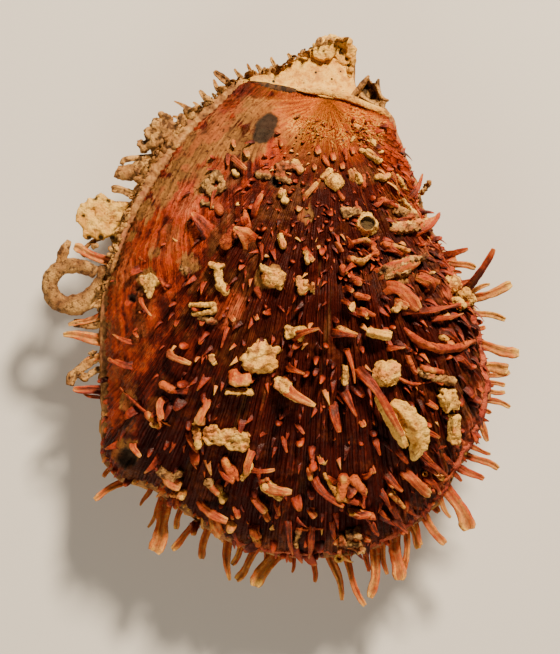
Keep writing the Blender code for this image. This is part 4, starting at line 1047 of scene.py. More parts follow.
def spine_course(foot, bend, tip, width, tone, end, flatness, crook, wide_foot=1.5):
    """One path for the tree: from foot through a bend to tip, and the shape that it carries."""
    t = np.linspace(0, 1, SPINE_POINTS)
    share = t[:, None]
    place = (1 - share) ** 2 * foot + 2 * share * (1 - share) * bend + share**2 * tip
    ahead = tip - foot
    flat_ahead = np.array([ahead[0], ahead[1], 0.0])
    flat_ahead /= max(np.linalg.norm(flat_ahead), 1e-6)
    aside = np.array([-flat_ahead[1], flat_ahead[0], 0.0])
    swing = crook * np.linalg.norm(ahead) * np.sin(np.pi * t * 1.7 + 9.0 * tone) * t
    place = place + aside * swing[:, None]
    along = np.gradient(place, axis=0)
    along /= np.linalg.norm(along, axis=1, keepdims=True)
    hint = np.array([0.0, 0.0, 1.0]) - 0.7 * flat_ahead
    upper_side = hint - along * (along @ hint)[:, None]
    upper_side /= np.linalg.norm(upper_side, axis=1, keepdims=True)
    half = np.interp(t, [0, 0.15, 0.5, 0.9, 1.0], [wide_foot, 1.12, 0.95, (end + 0.12), end * 0.72]) * width / 2
    half = half * (1 + 0.18 * grain(place, 1.6, 61, 2))
    flat = np.interp(t, [0, 0.3, 1], [min(1.0, flatness + 0.25), flatness, flatness])
    known = {"half_width": half * MM, "upper_side": upper_side, "aside": np.cross(along, upper_side)}
    return {"place": place, **known, "flatness": flat, "along": t, "tone": np.full(SPINE_POINTS, tone)}


def upper_spine(x, y, tip_x, tip_y, rise, width, tone, end):
    foot = np.array([x, y, float(upper_height(x, y))])
    normal = upper_normal(np.array(x), np.array(y))
    lift = max(rise, 1.2 + width / 2) if width > 1.05 else rise
    tip = np.array([tip_x, tip_y, float(upper_height(tip_x, tip_y)) + lift])
    length = np.linalg.norm(tip - foot)
    bend = foot + normal * (0.35 * lift + 0.30 * length)
    return spine_course(foot - normal * 0.8, bend, tip, width, tone, end, 0.62, 0.03)


upper_paths = [upper_spine(*row) for row in UPPER_SPINES + UPPER_THORNS]
spines = path_object("upper_spine_paths", upper_paths)
SPINE_SETTINGS = {"Sides": 18, "Groove": 0.8, "Roughness": 0.3, "Ridges": 0.13, "Finish": spine_shell}
upper_settings = {**SPINE_SETTINGS, "Groove": 0.45, "Roughness": 0.5}
upper_spines = grow("upper_spines", spines, spine_tree, upper_settings)
print("spines on the upper valve:", len(upper_paths), "faces:", len(upper_spines.data.polygons))

# %% [markdown]
# ## The spines of the lower valve
#
# The lower valve's spines stand round the edge like a fringe and reach out past the red valve. They are longer,
# paler and more often spoon-shaped than those on top. A second row grows lower on the flank, where only a view
# from the side finds it. The tree is the same as before; only the table differs.

# %% Lower valve spines
RIM_SPINES = [
    (30.0, 12.6, 36.2, 11.4, -0.6, 1.4, 2.8, 0.8), (32.6, 8.4, 35.6, 8.8, -1.0, 1.0, 2.0, 0.5),
    (34.4, 5.0, 43.4, 7.8, 0.6, 1.6, 3.3, 1.1), (35.6, 2.4, 42.2, 1.4, -1.2, 1.2, 3.6, 1.0),
    (35.8, -3.4, 44.8, -5.8, -0.4, 1.8, 3.2, 1.2), (36.6, -8.6, 42.8, -8.4, -1.6, 2.0, 3.7, 1.1),
    (37.4, -13.0, 42.2, -13.6, -2.0, 1.0, 3.2, 0.8), (37.6, -14.8, 43.2, -16.2, -0.6, 1.2, 2.9, 0.8),
    (36.4, -18.4, 39.0, -23.2, -1.4, 1.6, 3.0, 0.5), (34.6, -24.2, 39.4, -25.8, -2.4, 1.0, 2.4, 0.6),
    (33.8, -25.8, 40.8, -28.8, -0.6, 1.3, 2.8, 1.0), (32.4, -28.2, 37.8, -31.2, -1.6, 1.5, 2.0, 0.7),
    (30.0, -32.2, 35.4, -40.8, -0.6, 2.3, 2.9, 1.3), (25.6, -37.6, 29.8, -44.2, -1.8, 1.6, 2.6, 0.9),
    (22.8, -39.6, 25.2, -44.8, -2.8, 1.1, 3.0, 1.2), (20.0, -41.8, 20.6, -51.2, -0.8, 2.3, 2.7, 1.1),
    (16.2, -43.8, 15.6, -54.8, -1.6, 1.8, 2.9, 0.9), (9.8, -45.4, 13.8, -56.4, -1.0, 1.3, 2.5, 0.9),
    (6.8, -45.6, 10.0, -55.4, -3.4, 1.6, 2.9, 0.5), (3.6, -45.8, 4.0, -51.8, -2.6, 1.1, 2.1, 0.7),
    (-3.2, -45.4, -8.2, -52.4, -0.8, 2.3, 3.2, 1.1), (-7.4, -44.4, -11.8, -51.4, -2.2, 1.5, 2.8, 1.0),
    (-13.4, -42.8, -13.6, -51.4, -1.2, 1.7, 2.6, 0.4), (-19.0, -39.2, -25.0, -45.0, -2.6, 1.3, 2.7, 0.9),
    (-17.2, -40.4, -19.2, -47.0, -2.0, 1.5, 2.6, 0.9), (-25.6, -34.2, -28.2, -45.6, -0.8, 2.6, 2.8, 1.3),
    (-33.2, -31.0, -40.4, -34.6, -0.6, 1.3, 2.6, 0.8), (-36.8, -13.6, -44.4, -12.4, -0.4, 1.8, 1.3, 0.6),
    (-37.0, -3.0, -46.6, -2.2, -1.8, 2.4, 3.1, 0.4),
    (-37.2, 12.8, -44.4, 15.4, -0.8, 1.6, 3.0, 1.0), (-32.0, 26.0, -36.8, 27.4, -1.6, 1.6, 3.2, 0.8),
    (-24.6, 36.2, -31.4, 36.4, -2.4, 1.4, 3.2, 0.6), (-19.4, 41.6, -24.0, 45.2, -0.8, 0.9, 2.6, 0.4),
    (-16.6, 44.4, -19.4, 47.0, -1.6, 1.2, 3.0, 0.5), (-12.6, 47.6, -16.0, 51.2, -0.8, 1.5, 3.4, 0.6),
    (-6.0, 49.4, -7.8, 52.4, -1.8, 1.2, 3.2, 0.5), (0.0, 51.4, -1.2, 54.8, -2.2, 1.3, 3.3, 0.5),
]
# Shorter ones between them, and the loose fringe above the left shoulder
RIM_THORNS = [
    (31.4, 10.6, 33.4, 10.6, -0.8, 0.9, 2.2, 0.5), (31.8, 8.8, 34.8, 8.6, -1.4, 0.9, 2.4, 0.6),
    (35.4, 6.6, 39.0, 8.4, -1.6, 0.9, 3.6, 0.6), (36.0, -0.6, 38.2, -0.6, -1.6, 1.0, 2.6, 0.7),
    (37.4, -10.2, 43.2, -9.6, -2.6, 1.0, 3.2, 0.9), (38.8, -11.6, 42.2, -11.8, -1.4, 1.0, 3.0, 0.8),
    (37.2, -17.0, 39.4, -17.6, -2.0, 1.1, 2.2, 0.7), (31.8, -29.8, 33.6, -31.2, -1.0, 1.0, 1.6, 0.5),
    (28.8, -34.2, 31.2, -38.8, -2.2, 1.0, 3.2, 0.7), (24.0, -39.2, 25.6, -44.0, -1.0, 0.9, 2.4, 0.6),
    (22.4, -41.2, 22.2, -50.6, -2.4, 1.2, 3.0, 1.0), (17.6, -43.8, 18.2, -50.2, -2.6, 1.0, 2.6, 0.7),
    (14.2, -44.6, 14.6, -49.6, -2.2, 1.1, 2.0, 0.6), (0.0, -45.8, -0.6, -49.8, -1.6, 0.9, 1.4, 0.5),
    (-5.4, -44.8, -6.2, -48.6, -2.4, 1.1, 2.8, 0.8), (-10.6, -43.8, -12.4, -48.4, -2.0, 1.2, 2.9, 0.9),
    (-22.6, -36.4, -24.2, -41.0, -2.0, 1.1, 2.6, 0.9), (-26.4, -34.0, -29.6, -40.8, -2.4, 0.9, 2.8, 0.6),
    (-29.0, -33.0, -31.0, -36.4, -1.8, 0.9, 2.4, 0.5), (-36.8, -28.6, -38.6, -30.4, -1.2, 1.0, 2.6, 0.8),
    (-37.8, 2.4, -45.4, -0.4, -2.6, 1.2, 3.0, 0.6), (-37.6, -6.0, -42.6, -7.4, -2.6, 1.4, 3.3, 0.9),
    (-37.8, -14.8, -42.4, -13.8, -1.6, 0.8, 1.4, 0.5), (-33.6, 24.0, -37.2, 24.6, -1.0, 1.1, 3.4, 0.7),
    (-14.8, 46.4, -16.6, 49.2, -1.0, 1.0, 3.0, 0.4), (-10.4, 48.6, -12.0, 51.6, -1.2, 1.0, 3.4, 0.4),
    (-8.2, 49.2, -9.4, 52.6, -1.0, 0.9, 3.4, 0.4), (-3.6, 50.4, -4.6, 54.0, -1.6, 1.0, 3.4, 0.4),
    (2.4, 52.6, 2.0, 55.6, -1.6, 1.0, 3.5, 0.4), (-18.0, 43.0, -20.6, 44.6, -1.4, 0.9, 3.0, 0.4),
    (-21.0, 40.4, -24.6, 41.8, -1.6, 1.0, 3.1, 0.5), (-28.6, 31.0, -32.0, 32.0, -1.6, 1.1, 3.1, 0.6),
]
FLANK_SPINES = [
    (-170, 0.30, 4.6), (-148, 0.42, 4.0), (-125, 0.28, 5.2), (-108, 0.44, 4.2), (-92, 0.28, 5.0), (-74, 0.42, 4.4),
    (-57, 0.26, 5.4), (-40, 0.42, 4.4), (-24, 0.27, 4.8), (-6, 0.42, 4.0), (14, 0.28, 4.4), (36, 0.36, 3.6),
    (118, 0.32, 4.2), (140, 0.44, 4.6), (158, 0.30, 4.2), (172, 0.45, 3.8),
]


def rim_spine(x, y, tip_x, tip_y, height, width, tone, end):
    degrees, _ = round_the_shell(x, y)
    seam = float(seam_height(degrees))
    thickness = min(1.6, width * 0.62)
    below = SEAM_GAP + 0.35 + thickness / 2
    foot = np.array([x, y, seam - below - 0.8 - float(round_table(EDGE_DROP, degrees))])
    tip = np.array([tip_x, tip_y, seam - below + min(height, 0.0)])
    ahead = tip - foot
    root = foot - ahead / np.linalg.norm(ahead) * 1.4
    bend = (foot + tip) / 2 + [0, 0, 0.5]
    return spine_course(root, bend, tip, width, tone + 0.45, end, 0.6, 0.05, 1.25)


def flank_spine(degrees, down, length):
    turn = np.array(float(degrees))
    foot, inner = flank(turn, 90 * down), flank(turn, 90 * down + 8)
    outward = np.array([foot[0] - BODY_CENTRE[0], foot[1] - BODY_CENTRE[1], 0.0])
    outward /= np.linalg.norm(outward)
    slope = (inner - foot) / np.linalg.norm(inner - foot)
    normal = outward - slope * (outward @ slope)
    lean = normal / np.linalg.norm(normal) + outward * 0.6
    lean /= np.linalg.norm(lean)
    bend = foot + lean * length * 0.5 + [0, 0, 0.4]
    return spine_course(foot - lean * 1.2, bend, foot + lean * length, 1.6, 2.4, 0.8, 0.65, 0.08, 1.4)


rim_rows = RIM_SPINES + RIM_THORNS
crusty = [row for row in rim_rows if row[0] < 4 and row[1] > 20]
lower_paths = [rim_spine(*row) for row in rim_rows if row not in crusty] + [flank_spine(*row) for row in FLANK_SPINES]
spines = path_object("lower_spine_paths", lower_paths)
lower_spines = grow("lower_spines", spines, spine_tree, SPINE_SETTINGS)
crusty_settings = {**SPINE_SETTINGS, "Roughness": 0.8, "Finish": tan_crust}
grow("shoulder_spines", path_object("shoulder_paths", [rim_spine(*row) for row in crusty]), spine_tree, crusty_settings)
print("spines on the lower valve:", len(lower_paths), "faces:", len(lower_spines.data.polygons))

# %% [markdown]
# ## Small scales by the hundred
#
# Between the large spines every rib carries small claws, scales and stumps. They repeat, so three plain shapes
# of a few dozen faces are made once, and a node tree sets one of them on each of several hundred points. The
# points follow the ribs from the beak, crowd towards the right and lower edges as on the real shell, and keep
# clear of the worn left strip, the hinge side and the barnacles.

# %% Three small shapes and the tree that scatters them
SCALE_SIDES = 7
SCALE_RINGS = 6
RING_SIDES = 11
BARNACLES = [
    ("barnacle_open", 13.5, 19.5, 2.1, 2.0, 0.62),
    ("barnacle_bulb", 7.6, 27.4, 1.5, 2.5, 0.0),
    ("barnacle_middle", -6.4, -6.2, 2.3, 2.4, 0.0),
    ("barnacle_low", 17.6, -9.2, 2.2, 2.8, 0.0),
    ("barnacle_edge", 30.8, 7.8, 1.6, 2.4, 0.0),
    ("barnacle_shoulder", -4.2, 9.1, 1.45, 1.8, 0.0),
]


def small_scale(name, lean, wide, end, hollow):
    """A claw one millimetre long that rises along Z, leans to X and is hollow towards it."""
    points, along = [], []
    for i in range(SCALE_RINGS):
        t = i / (SCALE_RINGS - 1)
        centre = np.array([lean * t**1.6, 0.0, t * (1 - 0.35 * t * lean)])
        size = 0.5 * wide * (1 + (end - 1) * t**1.3) * max(1 - t**5, 0.16) ** 0.5
        for k in range(SCALE_SIDES):
            turn = 2 * math.pi * k / SCALE_SIDES
            dx, dy = 0.55 * size * math.cos(turn), size * math.sin(turn)
            if dx < 0:
                dx *= 1 - hollow * math.cos(turn) ** 2
            points.append(centre + [dx, dy, -0.35 * dx * t])
            along.append(t)
    points.append([0.0, 0.0, 0.0])
    points.append(np.array([lean, 0.0, 1 - 0.35 * lean]) - [0, 0, 0.12 * hollow])
    along += [0.0, 1.0]
    points = np.array(points)
    points[:, 2] -= 0.12
    faces = ring_faces(SCALE_RINGS, SCALE_SIDES)
    last = SCALE_SIDES * (SCALE_RINGS - 1)
    faces += cap_faces(list(range(SCALE_SIDES)), len(points) - 2)
    faces += cap_faces(list(range(last, last + SCALE_SIDES)), len(points) - 1)
    return mesh_piece(name, points, faces, spine_shell, {"along": np.array(along)})


def small_ring(name, radius, thick):
    """A ring that lies flat: what is left of a small barnacle or a broken tube."""
    points = []
    for turn in np.linspace(0, 2 * math.pi, RING_SIDES, endpoint=False):
        wide, thin = radius * (1 + 0.15 * math.sin(2 * turn)), thick * (1 + 0.3 * math.sin(3 * turn))
        for lean in np.linspace(0, 2 * math.pi, 5, endpoint=False):
            reach = wide + thin * math.cos(lean)
            points.append((reach * math.cos(turn), reach * math.sin(turn), 0.3 + thin * 1.6 * math.sin(lean)))
    faces = [[5 * r + c, 5 * ((r + 1) % RING_SIDES) + c, 5 * ((r + 1) % RING_SIDES) + (c + 1) % 5, 5 * r + (c + 1) % 5]
             for r in range(RING_SIDES) for c in range(5)]
    return mesh_piece(name, np.array(points), faces, spine_shell, {"along": np.full(len(points), 0.7)})


def build_scatter_tree(shape_count):
    sizes = [("Size", "NodeSocketFloat", 1.0), ("Size spread", "NodeSocketFloat", 0.3), ("Seed", "NodeSocketInt", 7)]
    sizes += [(f"Shape {k + 1}", "NodeSocketObject", None) for k in range(shape_count)]
    sizes += [("Finish", "NodeSocketMaterial", None)]
    tree, given = new_tree("scales_on_points", sizes)
    together = tree.nodes.new("GeometryNodeJoinGeometry")
    for k in range(shape_count - 1, -1, -1):
        shape = add(tree, "GeometryNodeObjectInfo", {"Object": given[f"Shape {k + 1}"]}, 4, transform_space="ORIGINAL")
        shape = add(tree, "GeometryNodeGeometryToInstance", {"Geometry": shape})
        tree.links.new(shape, together.inputs[0])
    spread = {"Min": maths(tree, "SUBTRACT", 1.0, given["Size spread"])}
    spread["Max"] = maths(tree, "ADD", 1.0, given["Size spread"])
    spread["Seed"] = given["Seed"]
    chance = tree.nodes.new("FunctionNodeRandomValue")
    chance.data_type = "FLOAT"
    tree.links.new(spread["Min"], chance.inputs[2])
    tree.links.new(spread["Max"], chance.inputs[3])
    tree.links.new(spread["Seed"], chance.inputs["Seed"])
    scale = maths(tree, "MULTIPLY", maths(tree, "MULTIPLY", named(tree, "size"), chance.outputs[1]), given["Size"])
    axes = {0: named(tree, "surface_normal", "FLOAT_VECTOR"), 1: named(tree, "growth", "FLOAT_VECTOR")}
    turn = add(tree, "FunctionNodeAxesToRotation", axes, primary_axis="Z", secondary_axis="X")
    points = add(tree, "GeometryNodeMeshToPoints", {"Mesh": given["Geometry"]})
    inputs = {"Points": points, "Instance": together.outputs[0], "Pick Instance": True, "Rotation": turn, "Scale": scale}
    inputs["Instance Index"] = named(tree, "shape", "INT")
    set_out = add(tree, "GeometryNodeInstanceOnPoints", inputs)
    finish_tree(tree, set_out, given["Finish"])
    return tree


def point_object(name, points, values):
    data = bpy.data.meshes.new(name)
    data.from_pydata((points * MM).tolist(), [], [])
    for key, known in values.items():
        known = np.asarray(known)
        if known.dtype.kind == "i":
            data.attributes.new(key, "INT", "POINT").data.foreach_set("value", known.astype(np.int32))
        elif known.ndim == 2:
            data.attributes.new(key, "FLOAT_VECTOR", "POINT").data.foreach_set("vector", known.astype(np.float32).ravel())
        else:
            data.attributes.new(key, "FLOAT", "POINT").data.foreach_set("value", known.astype(np.float32))
    made = bpy.data.objects.new(name, data)
    bpy.context.scene.collection.objects.link(made)
    return made


def scale_places(chance):
    """Places along the ribs, thinned by how bristly each part of the shell is."""
    columns = fan_columns()
    found = []
    for rib in np.arange(0.5, MAIN_RIBS * 3) / 3:
        end = columns[int(rib / MAIN_RIBS * (len(columns) - 1))]
        length = np.linalg.norm(end - BEAK)
        for step in np.arange(6.0, length - 0.6, 1.9 if rib % 1 > 0.4 else 1.6):
            place = BEAK + (end - BEAK) * ((step + chance.uniform(-0.8, 0.8)) / length)
            found.append((*(place + chance.uniform(-0.5, 0.5, 2)), step / length))
    places = np.array(found)
    x, y, reach = places.T
    low_left = smoothstep(-33, -6, x + 0.42 * (6 - y))
    bristle = low_left * smoothstep(40, 30, y) * (0.30 + 0.30 * reach)
    crowd = np.exp(-(((x - 7) / 13.0) ** 2) - ((y - 22) / 15.0) ** 2) * smoothstep(39, 33, y)
    right = np.exp(-(((x - 24) / 9.0) ** 2) - ((y - 4) / 30.0) ** 2)
    bristle = np.maximum(bristle, 1.0 * crowd)
    bristle = np.maximum(bristle, 0.66 * right)
    bristle = np.maximum(bristle, 0.07 * smoothstep(34, 26, y))
    bristle = np.maximum(bristle, 0.8 * np.exp(-(((x - 9.0) / 8.0) ** 4) - ((y - 37.5) / 3.0) ** 4))
    keep = chance.random(len(places)) < bristle
    for bx, by, radius in [(row[1], row[2], row[3] + 0.6) for row in BARNACLES] + [(-13.4, -22.4, 4.0), (-33.2, -26.2, 2.4)]:
        keep &= np.hypot(x - bx, y - by) > radius
    for row in UPPER_SPINES:
        keep &= np.hypot(x - row[0], y - row[1]) > 0.5 + row[5] / 2
    return places[keep]


def scatter(name, places, normals, growth, sizes, limy_share, tones, finish):
    """Sets the small shapes on places in millimetres. Growth points where each one leans."""
    count = len(places)
    growth = growth - normals * np.sum(growth * normals, axis=1, keepdims=True)
    growth /= np.linalg.norm(growth, axis=1, keepdims=True)
    low, high = tones
    values = {
        "surface_normal": normals,
        "growth": growth,
        "size": sizes,
        "shape": chance.choice(len(SHAPES) + 1, count, p=[0.32, 0.30, 0.12, 0.15, 0.105, 0.005]),
        "tone": np.where(chance.random(count) < limy_share, 3.0, low) + chance.random(count) * (high - low),
    }
    shapes = [small_scale(*shape) for shape in SHAPES] + [small_ring("ring_shape", 0.42, 0.14)]
    source = point_object(name + "_points", places, values)
    settings = {"Size": 1.0, "Size spread": 0.3, "Seed": 7, "Finish": finish}
    settings.update({f"Shape {k + 1}": shape for k, shape in enumerate(shapes)})
    return grow(name, source, scatter_tree, settings, doomed=shapes)


# Name, lean, width, width of the end, hollowness
SHAPES = [
    ("thorn_shape", 0.95, 0.50, 0.15, 0.5), ("claw_shape", 1.15, 0.62, 0.35, 1.2),
    ("stump_shape", 0.45, 0.55, 0.55, 0.2), ("spoon_shape", 0.80, 0.72, 0.95, 1.5), ("knob_shape", 0.2, 0.7, 1.0, 0.0),
]
scatter_tree = build_scatter_tree(len(SHAPES) + 1)
chance = np.random.default_rng(23)
x, y, reach = scale_places(chance).T
leaning = np.column_stack([x, y]) - BEAK
leaning = np.column_stack([leaning / np.linalg.norm(leaning, axis=1, keepdims=True), np.zeros(len(x))])
leaning[:, :2] += chance.normal(0, 0.45, (len(x), 2)) + np.column_stack([0.4 * smoothstep(5, 25, x), 0 * x])
sizes = (1.1 + 1.5 * reach) * (0.6 + 0.7 * chance.random(len(x))) * (0.55 + 0.45 * smoothstep(0.16, 0.28, reach))
places = np.column_stack([x, y, upper_height(x, y)])
scales = scatter("rib_scales", places, upper_normal(x, y), leaning, sizes, 0.10, (0.25, 1.95), spine_shell)
print("scales on the ribs:", len(x), "faces:", len(scales.data.polygons))


def ring_places(first, last, spacing, lift, spread):
    """Places round the shell between two angles, with the direction outwards at each."""
    degrees = np.arange(first, last, math.degrees(spacing / 40.0))
    degrees = degrees + chance.uniform(-0.4, 0.4, len(degrees))
    turn = np.radians(degrees)
    outward = np.column_stack([np.cos(turn), np.sin(turn), np.zeros(len(turn))])
    places = around(degrees, rim_distance(degrees) + lift[0] + chance.uniform(-spread, spread, len(turn)), 0)
    places[:, 2] = seam_height(degrees) + lift[1]
    return places, outward


def fringe_degrees(places):
    return round_the_shell(places[:, 0], places[:, 1])[0]


# Teeth along the red valve's edge
places, outward = ring_places(-152, 62, 0.9, (-0.6, 1.1), 0.35)
leaning = outward + chance.normal(0, 0.22, outward.shape)
up = outward * 0.75 + np.array([0.0, 0.0, 0.66])
sizes = 1.0 + 1.1 * chance.random(len(places))
teeth = scatter("rim_teeth", places, up, leaning - [0, 0, 0.6], sizes, 0.08, (0.8, 2.2), spine_shell)

# Crusty fringe of the lower valve's left and upper left side
places, outward = ring_places(80, 186, 0.42, (0.0, -0.9), 0.6)
places[:, :2] += outward[:, :2] * (round_table(OVERHANG, fringe_degrees(places)) + 0.1)[:, None]
places[:, 2] -= 1.3 * smoothstep(114, 106, fringe_degrees(places))
outward[:, 2] = 0.4
leaning = np.column_stack([chance.normal(0, 0.5, (len(places), 2)), np.ones(len(places))])
sizes = 1.2 + 1.9 * chance.random(len(places)) ** 2
fringe = scatter("left_fringe", places, outward, leaning, sizes, 0.5, (2.4, 3.4), tan_crust)
print("teeth and fringe faces:", len(teeth.data.polygons), len(fringe.data.polygons))

# %% [markdown]
# ## Barnacles
#
# Six barnacles and closed bulbs are cemented to the red valve. A barnacle is a ring of plates that leans
# inwards to a mouth, so each one is a profile turned round an axis, with the plates and the grain pushed out of
# its side. The axis is the valve's own normal at its foot. The mouth's inside is known to the material as an
# attribute, which darkens it with painted shade.

# %% Barnacles
BARNACLE_SIDES = 60
BARNACLE_ROWS = 40


def seat(x, y, turn=0.0, upright=0.0):
    """Origin and three axes on the upper valve: the third stands square to its surface, or more upright."""
    normal = upper_normal(np.array(float(x)), np.array(float(y))) * (1 - upright) + np.array([0, 0, upright])
    normal /= np.linalg.norm(normal)
    along = np.array([math.cos(math.radians(turn)), math.sin(math.radians(turn)), 0.0])
    along -= normal * (along @ normal)
    along /= np.linalg.norm(along)
    return np.array([x, y, float(upper_height(x, y))]), np.stack([along, np.cross(normal, along), normal])


def barnacle_points(radius, height, mouth, seed, ragged):
    if mouth:
        profile = [(0, -0.3), (1.12, -0.2), (1.14, 0.1), (1.0, 0.45), (0.84, 0.85), (0.7, 1.0), (mouth + 0.1, 0.98)]
        profile += [(mouth, 0.8), (mouth * 0.9, 0.45), (0, 0.4)]
    else:
        profile = [(0, -0.3), (1.08, -0.2), (1.16, 0.15), (1.08, 0.5), (0.86, 0.82), (0.5, 0.98), (0, 1.03)]
    course = smooth_course([(x, 0, z) for x, z in profile], BARNACLE_ROWS)[1:-1]
    turn = np.linspace(0, 2 * math.pi, BARNACLE_SIDES, endpoint=False)
    reach, rise = course[:, :1] * radius, course[:, 2:] * height
    ring = np.stack([reach * np.cos(turn), reach * np.sin(turn), rise + 0 * turn], axis=-1)
    plates = 0.06 * np.abs(np.cos(3 * turn + seed)) + 0.03 * np.cos(18 * turn)
    swell = 1 + plates * smoothstep(0.3, 1.0, reach / radius) + ragged * grain(ring + seed * 7.3, 1.9, seed, 3)
    ring[..., :2] *= swell[..., None]
    ring[..., 2] += 0.6 * ragged * height * grain(ring + 3.1, 1.5, seed + 50, 3) * smoothstep(0.0, 0.5, rise / height)
    inside = np.zeros(ring.shape[:2])
    # inside marks the mouth's inner wall, which the material darkens as painted shade.
    if mouth:
        first = np.argmax(course[:, 2]) + 5
        inside[first:] = smoothstep(0.97, 0.84, rise[first:] / height)
    tips = [[0, 0, -0.3 * height], [0, 0, ring[-1, :, 2].mean()]]
    return np.concatenate([ring.reshape(-1, 3), tips]), np.concatenate([inside.ravel(), [0.0, float(mouth > 0)]])


# How ragged each barnacle is, how much longer than wide, and its turn
BARNACLE_LOOKS = [(0.3, 1.0, 0), (0.35, 1.0, 10), (0.75, 1.25, 20), (0.45, 1.1, 70), (0.6, 1.05, 60), (0.9, 1.2, -10)]


def make_barnacle(name, x, y, radius, height, mouth, seed):
    ragged, stretch, turn = BARNACLE_LOOKS[seed]
    points, inside = barnacle_points(radius, height, mouth, seed, ragged)
    points[:, 0] *= stretch
    origin, axes = seat(x, y, turn, 0.6)
    rows = BARNACLE_ROWS - 2
    faces = ring_faces(rows, BARNACLE_SIDES)
    last = (rows - 1) * BARNACLE_SIDES
    faces += cap_faces(list(range(BARNACLE_SIDES)), len(points) - 2)
    faces += cap_faces(list(range(last, last + BARNACLE_SIDES)), len(points) - 1)
    foot = smoothstep(0.7, 0.1, points[:, 2])
    blush = 0.8 * smoothstep(0.1, 0.4, grain(points + seed, 2.4, 74, 2))
    known = {"mouth": inside, "foot": foot, "blush": blush}
    made = mesh_piece(name + "_skin", origin + points @ axes, faces, cream_crust, known)
    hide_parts(name)
    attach(made, "root")
    return made


for seed, row in enumerate(BARNACLES):
    make_barnacle(*row, seed)
print("barnacles:", len(BARNACLES))

# %% [markdown]
# ## Crusts, lumps and ledges
#
# Crusts have no plan: they are lumps that have grown together. They are built that way here. Balls and flat
# blocks are put where the real ones sit, a voxel remesh melts them into one skin, and noise then roughens the
# skin and eats pits into it. The holes that worms bored are pushed in where the table says.

# %% Melted lumps


mould = bmesh.new()
bmesh.ops.create_icosphere(mould, subdivisions=2, radius=1.0)
BALL_POINTS = np.array([corner.co[:] for corner in mould.verts])
BALL_FACES = [[corner.index for corner in face.verts] for face in mould.faces]
mould.free()


def ball(x, y, z, radius):
    return BALL_POINTS * radius + [x, y, z], BALL_FACES


def block(outline, low, high):
    """A block with the given outline seen from above."""
    count = len(outline)
    points = np.array([(x, y, z) for z in (low, high) for x, y in outline])
    faces = [list(range(count)), list(range(count, 2 * count))]
    faces += [(i, (i + 1) % count, (i + 1) % count + count, i + count) for i in range(count)]
    return points, faces


def melt(name, solids, finish, voxel=0.34, rough=0.4, size=1.6, pits=0.3, holes=(), replaced=()):
    """Melts solids in millimetres into one rough, pitted skin that rides on the shell."""
    points, faces, start = [], [], 0
    for solid_points, solid_faces in solids:
        points.append(solid_points)
        faces += [[start + k for k in face] for face in solid_faces]
        start += len(solid_points)
    data = bpy.data.meshes.new("raw")
    data.from_pydata(np.concatenate(points).tolist(), [], faces)
    raw = bpy.data.objects.new("raw", data)
    bpy.context.scene.collection.objects.link(raw)
    remesh = raw.modifiers.new("melt", "REMESH")
    remesh.mode = "VOXEL"
    remesh.voxel_size = voxel
    graph = bpy.context.evaluated_depsgraph_get()
    data = bpy.data.meshes.new_from_object(raw.evaluated_get(graph), preserve_all_data_layers=True, depsgraph=graph)
    bpy.data.objects.remove(raw)
    points, normals = np.empty(len(data.vertices) * 3), np.empty(len(data.vertices) * 3)
    data.vertices.foreach_get("co", points)
    data.vertices.foreach_get("normal", normals)
    points, normals = points.reshape(-1, 3), normals.reshape(-1, 3)
    pitted = smoothstep(0.12, 0.5, grain(points, 0.8, 72, 2))
    crease = 0.4 - 2.0 * np.abs(grain(points, size * 0.9, 75, 2))
    out = rough * (grain(points, size, 71, 3) + crease) - pits * pitted
    # Painted shade: pits, and the holes pushed in below, are darkened through the mouth attribute.
    inside = 0.35 * pitted
    for x, y, radius, depth in holes:
        away = np.hypot(points[:, 0] - x, points[:, 1] - y) / radius
        dent = (1 - smoothstep(0.6, 1.2, away)) * (normals[:, 2] > -0.2)
        points[:, 2] -= dent * depth
        inside = np.maximum(inside, dent)
    points = points + normals * out[:, None]
    faces = [list(polygon.vertices) for polygon in data.polygons]
    bpy.data.meshes.remove(data)
    over = points[:, 2] - upper_height(points[:, 0], points[:, 1])
    _, reach = round_the_shell(points[:, 0], points[:, 1])
    known = {"mouth": inside, "foot": smoothstep(1.1, 0.2, over) * (over > -1.5) * (reach < 1.0)}
    known["blush"] = smoothstep(0.12, 0.40, grain(points, 3.0, 73, 2)) * (reach < 1.0)
    made = mesh_piece(name, points, faces, finish, known)
    if replaced:
        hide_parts(*replaced)
    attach(made, "root")
    return made


def seated(solids, x, y, turn=0.0):
    """Solids made at the origin, set on the upper valve square to its surface."""
    origin, axes = seat(x, y, turn)
    return [(points @ axes + origin, faces) for points, faces in solids]


